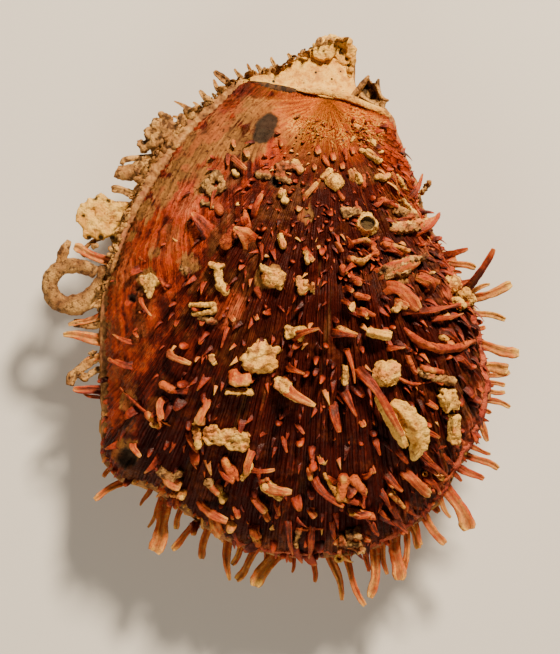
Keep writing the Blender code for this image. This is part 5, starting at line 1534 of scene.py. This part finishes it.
# Fingers of crust on the red valve: foot x, y, tip x, y, height of foot and of tip over it, radius at both
CREAM_FINGERS = [
    (-15.6, 11.4, -13.8, 11.2, 1.8, 2.0, 0.8, 0.7), (-14.4, 10.8, -14.2, 7.6, 2.2, 1.8, 0.9, 0.8),
    (-14.2, 7.6, -13.4, 6.6, 1.4, 1.0, 1.2, 1.1), (-6.4, 10.9, -5.4, 10.2, 1.2, 1.6, 0.9, 0.9),
    (-2.8, 9.2, -3.0, 7.6, 1.6, 1.2, 1.0, 0.9), (0.6, 8.8, 1.3, 6.8, 2.4, 2.0, 0.7, 0.8),
    (1.2, 6.8, 3.2, 6.2, 2.0, 2.8, 0.8, 0.6), (0.4, 6.4, 1.4, 6.2, 0.8, 1.0, 0.9, 0.9),
    (-19.6, 3.8, -15.6, 3.9, 1.5, 2.2, 0.55, 0.6), (-19.2, 2.2, -15.8, 2.4, 1.2, 1.8, 0.6, 0.6),
    (-15.4, 3.9, -15.2, 2.6, 1.8, 1.4, 0.6, 0.5), (-1.2, -1.8, 1.8, -0.9, 1.2, 2.0, 1.2, 1.1),
    (-1.6, -0.6, 1.2, -2.2, 1.0, 1.4, 0.8, 1.0), (-13.0, -12.2, -8.4, -12.6, 2.6, 2.4, 0.55, 0.6),
    (-3.0, -11.2, 0.8, -13.8, 2.2, 3.2, 1.4, 0.8), (-3.4, -10.4, -1.2, -11.2, 1.2, 2.6, 0.9, 1.0),
    (-15.8, -6.2, -15.5, -7.0, 1.4, 1.4, 0.9, 0.8), (9.4, -8.2, 9.2, -10.8, 2.4, 2.4, 0.8, 0.65),
    (-2.7, 25.0, -2.4, 24.8, 1.6, 1.9, 0.9, 0.7), (-2.2, 23.6, -1.8, 23.4, 1.4, 1.6, 0.8, 0.7),
    (-2.9, 16.6, -2.4, 14.9, 2.0, 2.2, 0.7, 0.7), (2.1, 13.6, 2.4, 11.8, 1.8, 2.0, 0.6, 0.5),
    (-11.8, 29.4, -11.2, 29.0, 0.7, 0.8, 0.7, 0.6), (0.0, 30.8, 0.9, 29.6, 1.4, 1.4, 1.1, 0.9),
    (5.2, 28.2, 6.4, 29.0, 1.2, 1.8, 0.7, 0.9), (15.4, 28.6, 16.4, 28.4, 1.4, 1.4, 0.8, 0.9),
    (17.0, 28.6, 17.6, 29.0, 1.3, 1.2, 0.8, 0.8), (11.2, 29.6, 12.0, 27.6, 1.4, 1.6, 0.5, 0.6),
    (19.4, 29.0, 21.2, 26.4, 1.0, 1.4, 0.5, 0.5), (14.0, 32.6, 15.8, 31.8, 1.2, 1.4, 0.6, 0.6),
    (12.6, 33.6, 13.6, 32.8, 1.0, 1.3, 0.6, 0.5), (12.0, 38.8, 12.6, 38.4, 0.6, 0.8, 0.6, 0.5),
    (14.0, 37.6, 14.6, 37.6, 0.6, 0.7, 0.5, 0.5), (11.4, 36.3, 10.8, 35.6, 0.6, 0.6, 0.5, 0.4),
    (14.8, 36.2, 15.2, 35.0, 0.6, 0.8, 0.5, 0.5), (0.0, 40.8, 0.8, 41.4, 0.2, 0.2, 0.35, 0.3),
    (3.4, 38.6, 4.2, 37.4, 0.2, 0.3, 0.4, 0.3), (1.4, 38.2, 0.8, 37.2, 0.2, 0.3, 0.4, 0.3),
    (32.4, 5.6, 33.4, 4.4, 2.2, 2.2, 1.4, 1.4), (31.0, 4.6, 32.0, 3.4, 1.4, 1.6, 0.9, 1.0),
    (28.2, -12.6, 30.4, -14.2, 1.6, 1.8, 0.8, 0.8), (19.6, 3.8, 18.6, 2.8, 1.8, 2.0, 0.8, 0.7),
    (28.4, -2.4, 28.8, -2.8, 1.0, 1.2, 0.7, 0.6), (-15.2, -31.6, -13.6, -33.4, 1.6, 2.2, 0.7, 0.8),
    (-19.2, -19.6, -18.4, -22.6, 2.2, 2.6, 0.8, 0.8), (-8.6, -27.0, -9.8, -29.0, 2.2, 2.4, 0.8, 0.6),
    (-5.4, -31.0, -2.6, -32.4, 2.0, 2.8, 1.4, 0.8), (-23.6, -32.4, -21.6, -32.8, 2.2, 2.4, 0.6, 0.7),
    (22.4, 21.6, 20.4, 24.2, 1.6, 1.4, 0.7, 0.5), (19.2, 19.2, 24.8, 19.6, 1.2, 3.0, 0.8, 0.9),
]
TAN_FINGERS = [
    (-17.0, 27.0, -14.8, 28.8, 1.0, 1.8, 1.5, 0.9), (-15.0, 29.2, -13.6, 26.4, 1.8, 1.2, 0.7, 0.7),
    (-16.2, 25.6, -14.4, 26.0, 0.8, 1.0, 1.2, 1.0), (-6.8, 29.0, -5.6, 28.8, 0.8, 0.9, 1.2, 1.1),
    (-3.0, 30.2, -0.6, 30.4, 1.0, 1.2, 1.5, 1.3), (-3.0, 28.6, -1.6, 27.4, 0.9, 0.8, 1.2, 0.8),
    (-26.2, -28.0, -23.0, -30.6, 1.4, 1.4, 1.4, 1.2), (-25.8, -31.0, -22.4, -28.6, 1.2, 1.6, 0.9, 0.9),
    (19.0, 22.6, 22.8, 20.6, 1.0, 1.2, 1.4, 1.2), (18.8, 18.4, 23.6, 18.6, 1.2, 2.2, 1.2, 1.0),
    (16.6, 10.0, 20.8, 11.4, 2.0, 2.8, 1.0, 1.1), (20.8, 11.4, 23.6, 12.2, 2.8, 3.2, 0.9, 0.6),
    (17.4, 9.0, 21.0, 9.6, 1.6, 2.0, 0.8, 0.7), (9.4, 21.6, 11.4, 21.8, 1.2, 1.4, 1.3, 1.1),
    (10.0, -41.8, 12.4, -41.6, 2.2, 2.6, 1.0, 0.9), (-17.0, -30.4, -15.0, -32.0, 1.2, 1.4, 1.0, 0.9),
    (9.0, -41.0, 8.6, -42.8, 2.4, 3.2, 0.6, 0.5), (11.2, -42.6, 13.0, -43.0, 2.4, 3.2, 0.6, 0.5),
    (10.4, -40.4, 12.4, -39.8, 2.2, 3.2, 0.6, 0.5), (24.0, -9.0, 29.6, -10.8, 1.4, 2.0, 1.0, 1.1), (-21.6, 10.8, -20.6, 10.4, 0.5, 0.5, 0.8, 0.7),
    (-17.8, 1.4, -15.6, 0.6, 0.8, 0.8, 1.0, 0.7), (0.6, -40.0, 0.2, -42.8, 1.2, 1.6, 0.7, 0.5),
    (-17.8, 23.6, -15.8, 22.6, 0.5, 0.6, 0.9, 0.8), (25.4, 26.4, 26.8, 28.4, 2.0, 3.0, 0.45, 0.5),
]
# Fleshy claws and petals of the red shell itself
RED_FINGERS = [
    (9.2, -29.4, 8.6, -32.2, 2.0, 3.0, 1.5, 1.1), (11.4, -29.6, 12.9, -31.2, 2.0, 3.0, 1.2, 0.9),
    (9.4, -32.8, 11.6, -33.2, 2.2, 3.2, 1.0, 0.7), (5.8, -28.4, 8.6, -33.6, 1.4, 2.2, 0.6, 0.6),
    (10.6, -35.8, 14.9, -36.6, 2.2, 2.8, 0.5, 0.5), (8.4, -0.8, 11.2, -1.6, 1.6, 2.4, 1.0, 0.5),
    (-13.2, 15.6, -11.4, 18.2, 1.2, 2.8, 1.6, 0.5), (-14.9, 22.4, -14.4, 21.8, 0.6, 0.9, 1.2, 1.1),
    (-9.6, 21.2, -9.0, 18.6, 1.8, 1.4, 0.6, 0.9), (23.4, 8.8, 26.2, 7.4, 2.2, 2.6, 0.9, 0.6),
    (10.4, 15.7, 12.6, 16.2, 1.8, 2.4, 0.5, 0.6), (12.6, 16.2, 14.4, 14.9, 2.4, 2.0, 0.6, 0.6),
    (14.2, 14.3, 14.9, 13.2, 1.8, 1.8, 0.8, 0.9), (10.1, 12.4, 12.4, 11.5, 1.4, 2.4, 0.8, 0.7),
    (12.4, 11.5, 14.0, 12.9, 2.4, 2.2, 0.7, 0.4), (7.7, 15.6, 8.5, 14.2, 1.4, 1.6, 0.5, 0.5),
    (-25.2, -11.6, -23.4, -12.6, 1.2, 1.6, 1.0, 0.8), (-28.4, -17.4, -26.2, -19.4, 1.0, 1.4, 1.0, 0.7),
    (-13.4, -25.8, -11.6, -29.4, 2.0, 2.8, 0.9, 0.6), (-11.8, -27.6, -10.5, -29.2, 2.2, 2.4, 0.6, 0.4),
    (16.8, 15.2, 20.8, 13.6, 1.6, 2.2, 0.9, 0.5), (-26.0, 8.8, -24.6, 7.0, 0.8, 1.2, 0.5, 0.5),
    (-30.8, 13.6, -29.2, 12.4, 0.4, 0.5, 0.5, 0.4), (-7.4, 6.8, -6.4, 4.6, 0.4, 0.5, 0.8, 0.6),
    (18.2, -32.4, 20.4, -34.6, 1.6, 2.4, 0.9, 0.5), (-8.0, -39.8, -7.0, -42.4, 1.8, 1.8, 1.1, 0.9),
    (2.8, -27.6, 3.0, -29.0, 1.6, 1.8, 0.9, 0.7), (24.4, -8.2, 27.4, -8.9, 1.8, 2.0, 0.8, 0.6),
    (21.4, -6.2, 22.6, -9.2, 1.4, 1.8, 0.7, 0.4), (30.4, -21.4, 32.4, -22.8, 1.2, 1.6, 0.9, 0.6),
    (12.6, 3.0, 14.4, 2.0, 1.6, 2.0, 0.7, 0.5), (10.6, 8.4, 12.6, 7.8, 1.6, 2.0, 0.7, 0.4),
    (11.4, 5.6, 13.6, 4.8, 1.6, 2.0, 0.7, 0.4), (8.8, 10.6, 9.0, 9.6, 1.4, 1.6, 0.9, 0.7),
    (12.9, 28.6, 12.6, 26.6, 1.0, 1.4, 0.6, 0.6), (8.0, 25.8, 8.9, 24.0, 1.0, 1.4, 0.5, 0.5),
    (5.6, 32.0, 6.2, 30.4, 0.9, 1.2, 0.7, 0.5), (9.6, 33.4, 9.8, 31.6, 0.9, 1.2, 0.7, 0.5),
    (16.2, 24.2, 18.6, 22.8, 1.2, 1.8, 0.8, 0.5), (3.6, 25.4, 4.4, 27.2, 1.0, 1.8, 0.5, 0.5),
]
# A thin flake of lime lies on the left, at this outline
FLAKE = [
    (-30.6, 9.9), (-29.2, 9.6), (-27.6, 10.2), (-26.4, 9.2), (-25.2, 7.8), (-26.6, 7.2), (-27.2, 6.4), (-28.0, 4.8),
    (-28.6, 5.8), (-29.2, 7.2), (-30.2, 8.2),
]


def fingers(table):
    """Chains of shrinking balls that rise from the upper valve."""
    balls = []
    for x, y, tip_x, tip_y, low, high, thick, thin in table:
        steps = max(2, round(math.hypot(tip_x - x, tip_y - y) / 0.6) + 1)
        for t in np.linspace(0, 1, steps):
            u, v, radius = x + (tip_x - x) * t, y + (tip_y - y) * t, 0.85 * (thick + (thin - thick) * t)
            normal = upper_normal(np.array(u), np.array(v))
            foot = np.array([u, v, float(upper_height(u, v))])
            for rise in np.arange(low + (high - low) * t - 0.4 * radius, -0.3, -1.1 * radius):
                balls.append(ball(*(foot + normal * rise), radius))
    return balls


flake_middle = np.mean(FLAKE, axis=0)
flake = seated([block([tuple(np.array(corner) - flake_middle) for corner in FLAKE], 0.2, 1.1)], *flake_middle)
UPPER_PLATE = [(-1.9, 1.8), (0.4, 2.4), (1.8, 2.1), (2.0, 0.4), (2.5, -0.9), (1.8, -2.4), (0.2, -1.6), (-1.0, -2.2), (-1.6, 0.2)]
LOWER_PLATE = [(-1.1, 3.3), (0.8, 3.4), (1.0, 0.4), (1.3, -2.4), (1.2, -3.2), (0.1, -2.7), (-0.9, -2.5), (-0.9, 0.2)]
flake += seated([block(UPPER_PLATE, 0.4, 2.3), ball(-0.6, 1.0, 2.2, 0.9), ball(0.9, -0.9, 2.2, 0.8)], 29.0, -14.6, 10)
flake += seated([block(LOWER_PLATE, 0.4, 2.6)], 30.2, -20.2, -4)
melt("cream_lumps", flake + fingers(CREAM_FINGERS), cream_crust, 0.22, 0.27, 1.0, 0.22)
melt("red_lumps", fingers(RED_FINGERS), red_crust, 0.22, 0.16, 1.3, 0.06)
melt("tan_lumps", fingers(TAN_FINGERS), tan_crust, 0.24, 0.45, 0.9, 0.3)

SLAB = [
    (-0.52, -0.35), (-0.4, -0.52), (-0.1, -0.4), (0.2, -0.52), (0.45, -0.5), (0.55, -0.1), (0.48, 0.4), (0.2, 0.5),
    (-0.05, 0.35), (-0.3, 0.5), (-0.5, 0.3),
]
slab = [block([(u * 8.8, v * 3.8) for u, v in SLAB], -0.3, 1.9)]
slab += [ball(u * 7.7, v * 3.2, 1.5, 0.62) for u, v in SLAB]
slab = seated(slab, -13.2, -21.4, -8.0)
melt("crust_slab_skin", slab, cream_crust, 0.26, 0.4, 1.2, 0.35, replaced=("crust_slab",))

hinge_level = float(seam_height(83.0)) - 2.8
hinge_balls = [
    (6.0, 57.4, hinge_level, 0.9), (7.4, 57.7, hinge_level, 1.0), (8.6, 56.9, hinge_level - 0.5, 1.1),
    (9.8, 57.0, hinge_level, 1.0), (10.8, 56.7, hinge_level, 1.1), (11.4, 55.5, hinge_level, 1.1),
    (11.5, 54.2, hinge_level - 0.1, 1.1), (11.3, 52.8, hinge_level - 0.2, 1.0), (11.0, 51.4, hinge_level - 0.4, 0.9),
    (10.8, 50.2, hinge_level - 0.6, 0.7), (9.0, 54.8, hinge_level - 1.4, 1.5), (9.4, 53.0, hinge_level - 1.2, 1.2),
    (3.2, 55.0, hinge_level - 0.9, 0.9), (2.2, 54.4, hinge_level - 1.1, 0.8), (4.0, 56.2, hinge_level - 0.8, 0.8),
]
hinge_block = [(3.6, 53.8), (3.8, 56.4), (5.2, 57.1), (7.8, 56.9), (8.2, 54.6), (7.2, 53.5), (5.2, 53.2)]
hinge_tip = [ball(*row) for row in hinge_balls] + [block(hinge_block, hinge_level - 1.4, hinge_level + 1.0)]
hinge_holes = [(9.2, 57.0, 0.5, 1.4), (9.1, 55.0, 1.0, 1.2), (5.8, 55.0, 0.3, 0.3), (10.8, 52.2, 0.4, 0.8)]
melt("hinge_crust", hinge_tip, gold_crust, 0.24, 0.4, 1.2, 0.2, hinge_holes)

cup_outline = [
    (11.2, 45.2), (12.2, 46.8), (13.4, 48.4), (14.8, 50.0), (15.4, 48.5), (16.1, 48.3), (16.8, 49.1), (17.0, 47.4),
    (17.2, 45.8), (18.7, 45.0), (18.1, 44.2), (17.8, 43.0), (16.4, 43.4), (14.4, 44.4), (12.4, 45.2),
]
cup = [block(cup_outline, COMMISSURE_HEIGHT - 3.4, COMMISSURE_HEIGHT - 0.9)]
cup_holes = [(14.7, 47.2, 1.4, 2.0), (15.6, 46.2, 1.2, 1.8)]
melt("hinge_cup", cup, tan_crust, 0.26, 0.4, 1.2, 0.25, cup_holes)

# Ledges of the left side
side_level = float(seam_height(160.0)) - 2.2
ledge_balls = [
    (-25.8, 38.2, side_level, 2.3), (-28.0, 36.8, side_level, 2.0), (-30.4, 35.4, side_level - 0.2, 1.2),
    (-31.2, 36.6, side_level - 0.2, 0.8), (-27.4, 34.6, side_level, 1.6), (-25.6, 41.0, side_level, 1.3),
    (-27.6, 40.2, side_level, 1.3), (-29.4, 38.4, side_level - 0.2, 1.2), (-24.4, 36.4, side_level, 2.0), (-23.4, 39.2, side_level, 1.6),
    (-22.2, 41.0, side_level, 1.1), (-21.6, 38.8, side_level - 0.2, 1.2), (-26.4, 42.2, side_level, 0.9),
    (-37.4, 18.6, side_level - 0.6, 0.8), (-40.2, 15.9, side_level - 0.8, 0.9), (-42.4, 14.4, side_level - 0.6, 0.8),
    (-40.6, -5.6, side_level - 1.0, 1.0), (-42.6, -10.6, side_level - 1.6, 1.0), (-44.2, -10.2, side_level - 1.8, 0.7),
    (-44.0, -13.0, side_level - 1.0, 0.6),
]
slab_outline = [
    (-43.3, 24.0), (-40.3, 25.8), (-38.9, 26.3), (-37.8, 25.8), (-35.9, 24.7), (-32.6, 24.4), (-31.6, 21.4),
    (-33.4, 18.4), (-34.8, 15.9), (-36.4, 15.7), (-37.1, 17.5), (-38.5, 17.1), (-40.1, 17.3), (-42.1, 17.3),
    (-42.6, 19.8), (-43.7, 21.0), (-43.5, 22.1),
]
side_slab = [block(slab_outline, side_level - 0.9, side_level + 0.7)]
ledge_holes = [(-36.6, 17.4, 0.7, 1.2), (-42.4, 21.8, 0.4, 0.4), (-30.2, 36.6, 0.7, 0.8)]
melt("side_ledges", [ball(*row) for row in ledge_balls], tan_crust, 0.28, 0.42, 1.7, 0.4, ledge_holes)
slab_holes = ledge_holes + [(-38.9, 17.6, 0.6, 1.4), (-41.2, 17.5, 0.5, 1.2), (-37.4, 24.9, 0.5, 0.7), (-35.2, 18.2, 0.5, 0.9), (-40.0, 25.4, 0.6, 0.5)]
melt("side_slab", side_slab, gold_crust, 0.28, 0.5, 1.5, 0.2, slab_holes)
print("melted pieces are done")

# %% [markdown]
# ## The worm tube and other winding growths
#
# A worm built its tube in a loop at the left edge, and low walls of crust wind along other places: the curled
# cup at the right end of the hinge, a rib of lime along the hinge's lower lip, and rugged ribs on the left. All
# of them follow a path, so the spine tree makes them too, without a groove and with a coarser skin.

# %% The worm tube and the winding crusts


def winding(places, widths, flatness, tone, points=60):
    """A path for the tree through a few places. Its widths are spread evenly along it."""
    place = smooth_course(places, points)
    t = np.linspace(0, 1, points)
    along = np.gradient(place, axis=0)
    along /= np.linalg.norm(along, axis=1, keepdims=True)
    upper_side = np.array([0.0, 0.0, 1.0]) - along * along[:, 2:]
    upper_side /= np.linalg.norm(upper_side, axis=1, keepdims=True)
    half = np.interp(t, np.linspace(0, 1, len(widths)), widths) / 2
    half = half * (1 + 0.22 * grain(place, 2.2, 81, 3)) * smoothstep(-0.02, 0.02, t) * smoothstep(1.02, 0.98, t)
    known = {"half_width": half * MM, "upper_side": upper_side, "aside": np.cross(along, upper_side)}
    return {"place": place, **known, "flatness": np.full(points, flatness), "along": t, "tone": np.full(points, tone)}


level = COMMISSURE_HEIGHT
tube = [winding([
    (-38.8, 12.0, level - 3.2), (-38.4, 9.4, level - 3.0), (-39.6, 6.8, level - 3.0), (-42.0, 4.9, level - 2.9),
    (-45.0, 3.9, level - 2.8), (-47.8, 4.8, level - 2.6), (-49.2, 7.2, level - 2.5), (-48.8, 9.8, level - 2.4),
    (-46.8, 11.5, level - 2.3), (-44.2, 11.9, level - 2.2), (-41.8, 11.4, level - 2.2), (-39.8, 10.4, level - 2.4),
], [2.6, 3.4, 4.2, 4.0, 3.5, 3.3, 3.2, 3.1, 2.9, 2.5], 1.0, 3.0, 170)]
tube_settings = {"Sides": 26, "Groove": 0.0, "Roughness": 0.5, "Ridges": 0.0, "Finish": tube_lime}
worm = grow("worm_tube_skin", path_object("tube_path", tube), spine_tree, tube_settings, ("worm_tube",))

rugged = [
    winding([(-47.0, 11.8, level - 2.2), (-46.4, 14.6, level - 1.8), (-45.2, 17.0, level - 1.6)], [2.4, 2.0, 1.0], 0.9, 3.0),
    winding([(-24.4, 35.0, level - 2.2), (-27.6, 32.6, level - 2.2), (-31.0, 31.0, level - 2.2), (-34.2, 30.4, level - 2.2),
             (-35.9, 30.9, level - 2.3)], [3.0, 3.4, 3.5, 3.4, 2.6], 0.9, 3.0),
    winding([(-27.0, 34.4, level - 2.8), (-30.8, 33.6, level - 2.4), (-34.0, 33.2, level - 2.2), (-34.8, 32.2, level - 2.4)],
            [1.0, 1.1, 1.1, 1.0], 0.9, 3.0),
    winding([(-38.0, -6.0, level - 3.0), (-41.4, -7.6, level - 3.2), (-44.6, -10.2, level - 3.2), (-45.2, -12.2, level - 3.0)],
            [1.5, 1.7, 1.8, 1.4], 0.8, 3.0),
    winding([(-38.0, -8.6, level - 3.2), (-40.4, -9.4, level - 3.4), (-42.4, -11.0, level - 3.2)], [1.2, 1.3, 0.9], 0.8, 3.0),
    winding([(-38.2, 17.8, level - 3.0), (-41.2, 16.4, level - 3.2), (-43.0, 14.2, level - 3.0)], [0.9, 0.8, 0.7], 1.6, 3.0),
    winding([(-37.0, 0.8, level - 3.2), (-40.6, 0.2, level - 3.4), (-44.6, 0.4, level - 3.6)], [2.6, 2.2, 1.6], 0.8, 2.4),
    winding([(11.2, 45.4, level - 1.4), (12.4, 46.7, level - 0.9), (13.7, 48.4, level - 0.6), (14.8, 49.9, level - 0.2)],
            [1.0, 1.3, 1.1, 0.4], 1.7, 3.2, 36),
    winding([(16.7, 49.1, level + 0.2), (16.5, 48.0, level - 0.4), (16.9, 46.2, level - 0.6), (17.6, 45.2, level - 0.8),
             (18.8, 44.9, level - 0.5)], [0.4, 1.0, 1.1, 0.9, 0.4], 1.8, 3.2, 40),
    winding([(17.7, 44.8, level - 0.8), (17.4, 43.4, level - 0.8), (18.0, 42.2, level - 0.6)], [1.2, 1.1, 0.4], 1.5, 3.2, 24),
    winding([(13.0, 46.0, level - 0.8), (14.2, 45.0, level - 0.6), (16.0, 44.2, level - 0.6)], [0.5, 0.9, 0.4], 1.2, 3.2, 24),
]
rugged_settings = {"Sides": 14, "Groove": 0.0, "Roughness": 0.7, "Ridges": 0.1, "Finish": tan_crust}
grow("rugged_crust", path_object("rugged_paths", rugged), spine_tree, rugged_settings)
lip = [winding([
    (0.2, 46.9, level + 1.2), (3.0, 46.6, level + 1.5), (6.4, 46.3, level + 1.8), (9.2, 45.7, level + 1.8),
    (11.8, 44.8, level + 1.7), (14.4, 43.7, level + 1.5), (17.0, 42.7, level + 1.3), (19.0, 41.6, level + 0.8),
], [0.4, 1.0, 1.4, 1.5, 1.4, 1.3, 1.3, 0.8], 0.55, 4.0, 70)]
ring_turns = np.linspace(0, 2 * math.pi + 0.8, 11)
ring = [(8.8 + 0.72 * math.cos(turn), -46.5 + 0.72 * math.sin(turn), level + 0.6) for turn in ring_turns]
lip.append(winding(ring, [0.6, 0.7, 0.6], 1.5, 3.4, 44))
lip_settings = {"Sides": 12, "Groove": 0.0, "Roughness": 0.5, "Ridges": 0.0, "Finish": cream_crust}
grow("hinge_lip", path_object("lip_path", lip), spine_tree, lip_settings)
def over_valve(rows, widths, flatness, points=60):
    """A winding path that runs over the upper valve: each row is x, y and the height above it."""
    return winding([(x, y, float(upper_height(x, y)) + lift) for x, y, lift in rows], widths, flatness, 3.0, points)


claws = [
    over_valve([(18.2, -15.0, 2.6), (20.6, -16.6, 3.8), (22.8, -19.2, 4.2), (24.0, -22.0, 3.9), (23.5, -24.4, 3.4),
                (22.8, -26.4, 2.8)], [1.8, 3.2, 3.7, 4.1, 3.6, 2.2, 0.7], 0.8, 100),
    over_valve([(15.4, -13.6, 2.8), (17.4, -16.6, 3.4), (19.4, -20.2, 3.8), (21.3, -23.6, 3.2)], [1.0, 1.7, 2.3, 2.1, 1.2], 0.7),
    over_valve([(13.6, -1.2, 1.4), (15.6, -1.7, 2.2), (18.3, -2.3, 2.4)], [1.5, 1.7, 1.7, 1.6], 0.9, 30),
    over_valve([(29.6, 9.4, 1.0), (30.6, 8.4, 1.6), (31.6, 6.6, 1.8)], [1.2, 1.5, 1.2], 0.9, 30),
]
claw_settings = {"Sides": 26, "Groove": 0.0, "Roughness": 0.7, "Ridges": 0.22, "Finish": gold_crust}
grow("golden_claws", path_object("claw_paths", claws), spine_tree, claw_settings)
turns = np.linspace(-110, 14, 120)
lip_points = around(turns, rim_distance(turns) - 0.5 + 0.4 * np.sin(turns * 0.9), seam_height(turns) + 1.3)
lip_points[:, 2] += 0.35 * np.sin(turns * 1.7)
rosy = [winding(lip_points[::3], [0.3, 1.3, 0.7, 0.9, 1.4, 1.7, 1.5, 1.9, 1.6, 1.8, 1.5, 1.2, 0.6], 0.9, 1.6, 340)]
rosy_settings = {"Sides": 12, "Groove": 0.0, "Roughness": 1.0, "Ridges": 0.2, "Finish": rosy_crust}
grow("rosy_lip", path_object("rosy_path", rosy), spine_tree, rosy_settings)


def fold(places, widths, lift):
    """A path along the upper valve for the free edge of an old leaf of shell."""
    return winding([(x, y, float(upper_height(x, y)) + lift) for x, y in places], widths, 1.7, 1.2, 70)


folds = [
    fold([(20.8, -0.6), (23.6, -3.0), (27.6, -4.5), (31.6, -4.4), (35.4, -3.2)], [0.6, 1.5, 1.7, 1.6, 0.8], 0.9),
    fold([(20.6, -29.8), (25.6, -31.6), (30.2, -30.4), (33.4, -26.0)], [0.5, 1.0, 1.1, 0.6], 0.5),
    fold([(18.4, -9.6), (22.6, -11.4), (26.8, -10.8)], [0.4, 0.8, 0.4], 0.5),
    fold([(-4.6, -38.6), (1.4, -40.2), (8.2, -39.6)], [0.4, 0.8, 0.4], 0.4),
    fold([(-34.6, -12.4), (-28.6, -17.4), (-21.4, -20.8)], [0.3, 0.6, 0.3], 0.3),
]
grow("leaf_folds", path_object("fold_paths", folds), spine_tree, {**rosy_settings, "Finish": red_crust})
# Painted shade: a dark strip fills the crevice between the hinge area and the red valve, and a short dark plug fills
# the small ring at the lower edge.
painted_shade_courses = [winding([
    (-9.6, 48.4, level + 0.1), (-6.0, 47.6, level + 0.4), (-2.0, 46.9, level + 0.6), (2.6, 46.2, level + 0.8),
], [0.7, 1.7, 1.5, 0.5], 0.6, 1.0, 50)]
painted_shade_courses.append(winding([(8.8, -46.5, level - 0.9), (8.8, -46.4, level + 0.1)], [1.3, 1.3], 1.0, 1.0, 12))
painted_shade_settings = {"Sides": 12, "Groove": 0.0, "Roughness": 0.4, "Ridges": 0.2, "Finish": painted_shade_finish}
grow("ligament_strip", path_object("ligament_path", painted_shade_courses), spine_tree, painted_shade_settings)
print("faces of the worm tube:", len(worm.data.polygons))

# %% [markdown]
# ## Floor, light and camera
#
# The shell lies on a plain pale floor. Real thorny shells show their relief only when the light comes from one
# side, so a soft key light stands at the upper right, as it does in the photograph, and a large weak light
# fills the shadows. The camera looks straight down, from far enough away that the spines don't splay.

# %% Floor, lights and camera


def make_floor():
    mesh = bmesh.new()
    bmesh.ops.create_grid(mesh, x_segments=1, y_segments=1, size=1.5)
    data = bpy.data.meshes.new("floor")
    mesh.to_mesh(data)
    mesh.free()
    made, tree, shader = start_material("floor_paper", 0.9)
    shader.inputs["Base Color"].default_value = (0.62, 0.60, 0.57, 1.0)
    data.materials.append(made)
    floor = bpy.data.objects.new("floor", data)
    bpy.context.scene.collection.objects.link(floor)


def add_light(name, place, size, power, shade):
    data = bpy.data.lights.new(name, "AREA")
    data.shape = "DISK"
    data.size = size
    data.energy = power
    data.color = shade
    made = bpy.data.objects.new(name, data)
    made.location = place
    made.rotation_euler = (Vector((0, 0, 0.02)) - Vector(place)).to_track_quat("-Z", "Y").to_euler()
    bpy.context.scene.collection.objects.link(made)


make_floor()
add_light("key_light", (0.20, 0.47, 0.52), 0.12, 15.8, (1.0, 0.82, 0.60))
add_light("fill_light", (-0.18, -0.50, 0.40), 0.4, 3.0, (1.0, 0.86, 0.68))
sky = bpy.data.worlds.new("studio")
sky.use_nodes = True
sky.node_tree.nodes["Background"].inputs["Color"].default_value = (1.0, 0.90, 0.78, 1.0)
sky.node_tree.nodes["Background"].inputs["Strength"].default_value = 0.085
bpy.context.scene.world = sky

CAMERA_DISTANCE = 0.490
lens = bpy.data.cameras.new("camera")
lens.lens = 135.0
lens.sensor_width = 36.0
lens.clip_start = 0.01
camera = bpy.data.objects.new("camera", lens)
camera.location = (-0.003, -0.0004, COMMISSURE_HEIGHT * MM + CAMERA_DISTANCE)
bpy.context.scene.collection.objects.link(camera)
bpy.context.scene.camera = camera
print("camera height in mm:", round(camera.location.z * 1000))

# %% The end
bpy.context.view_layer.update()
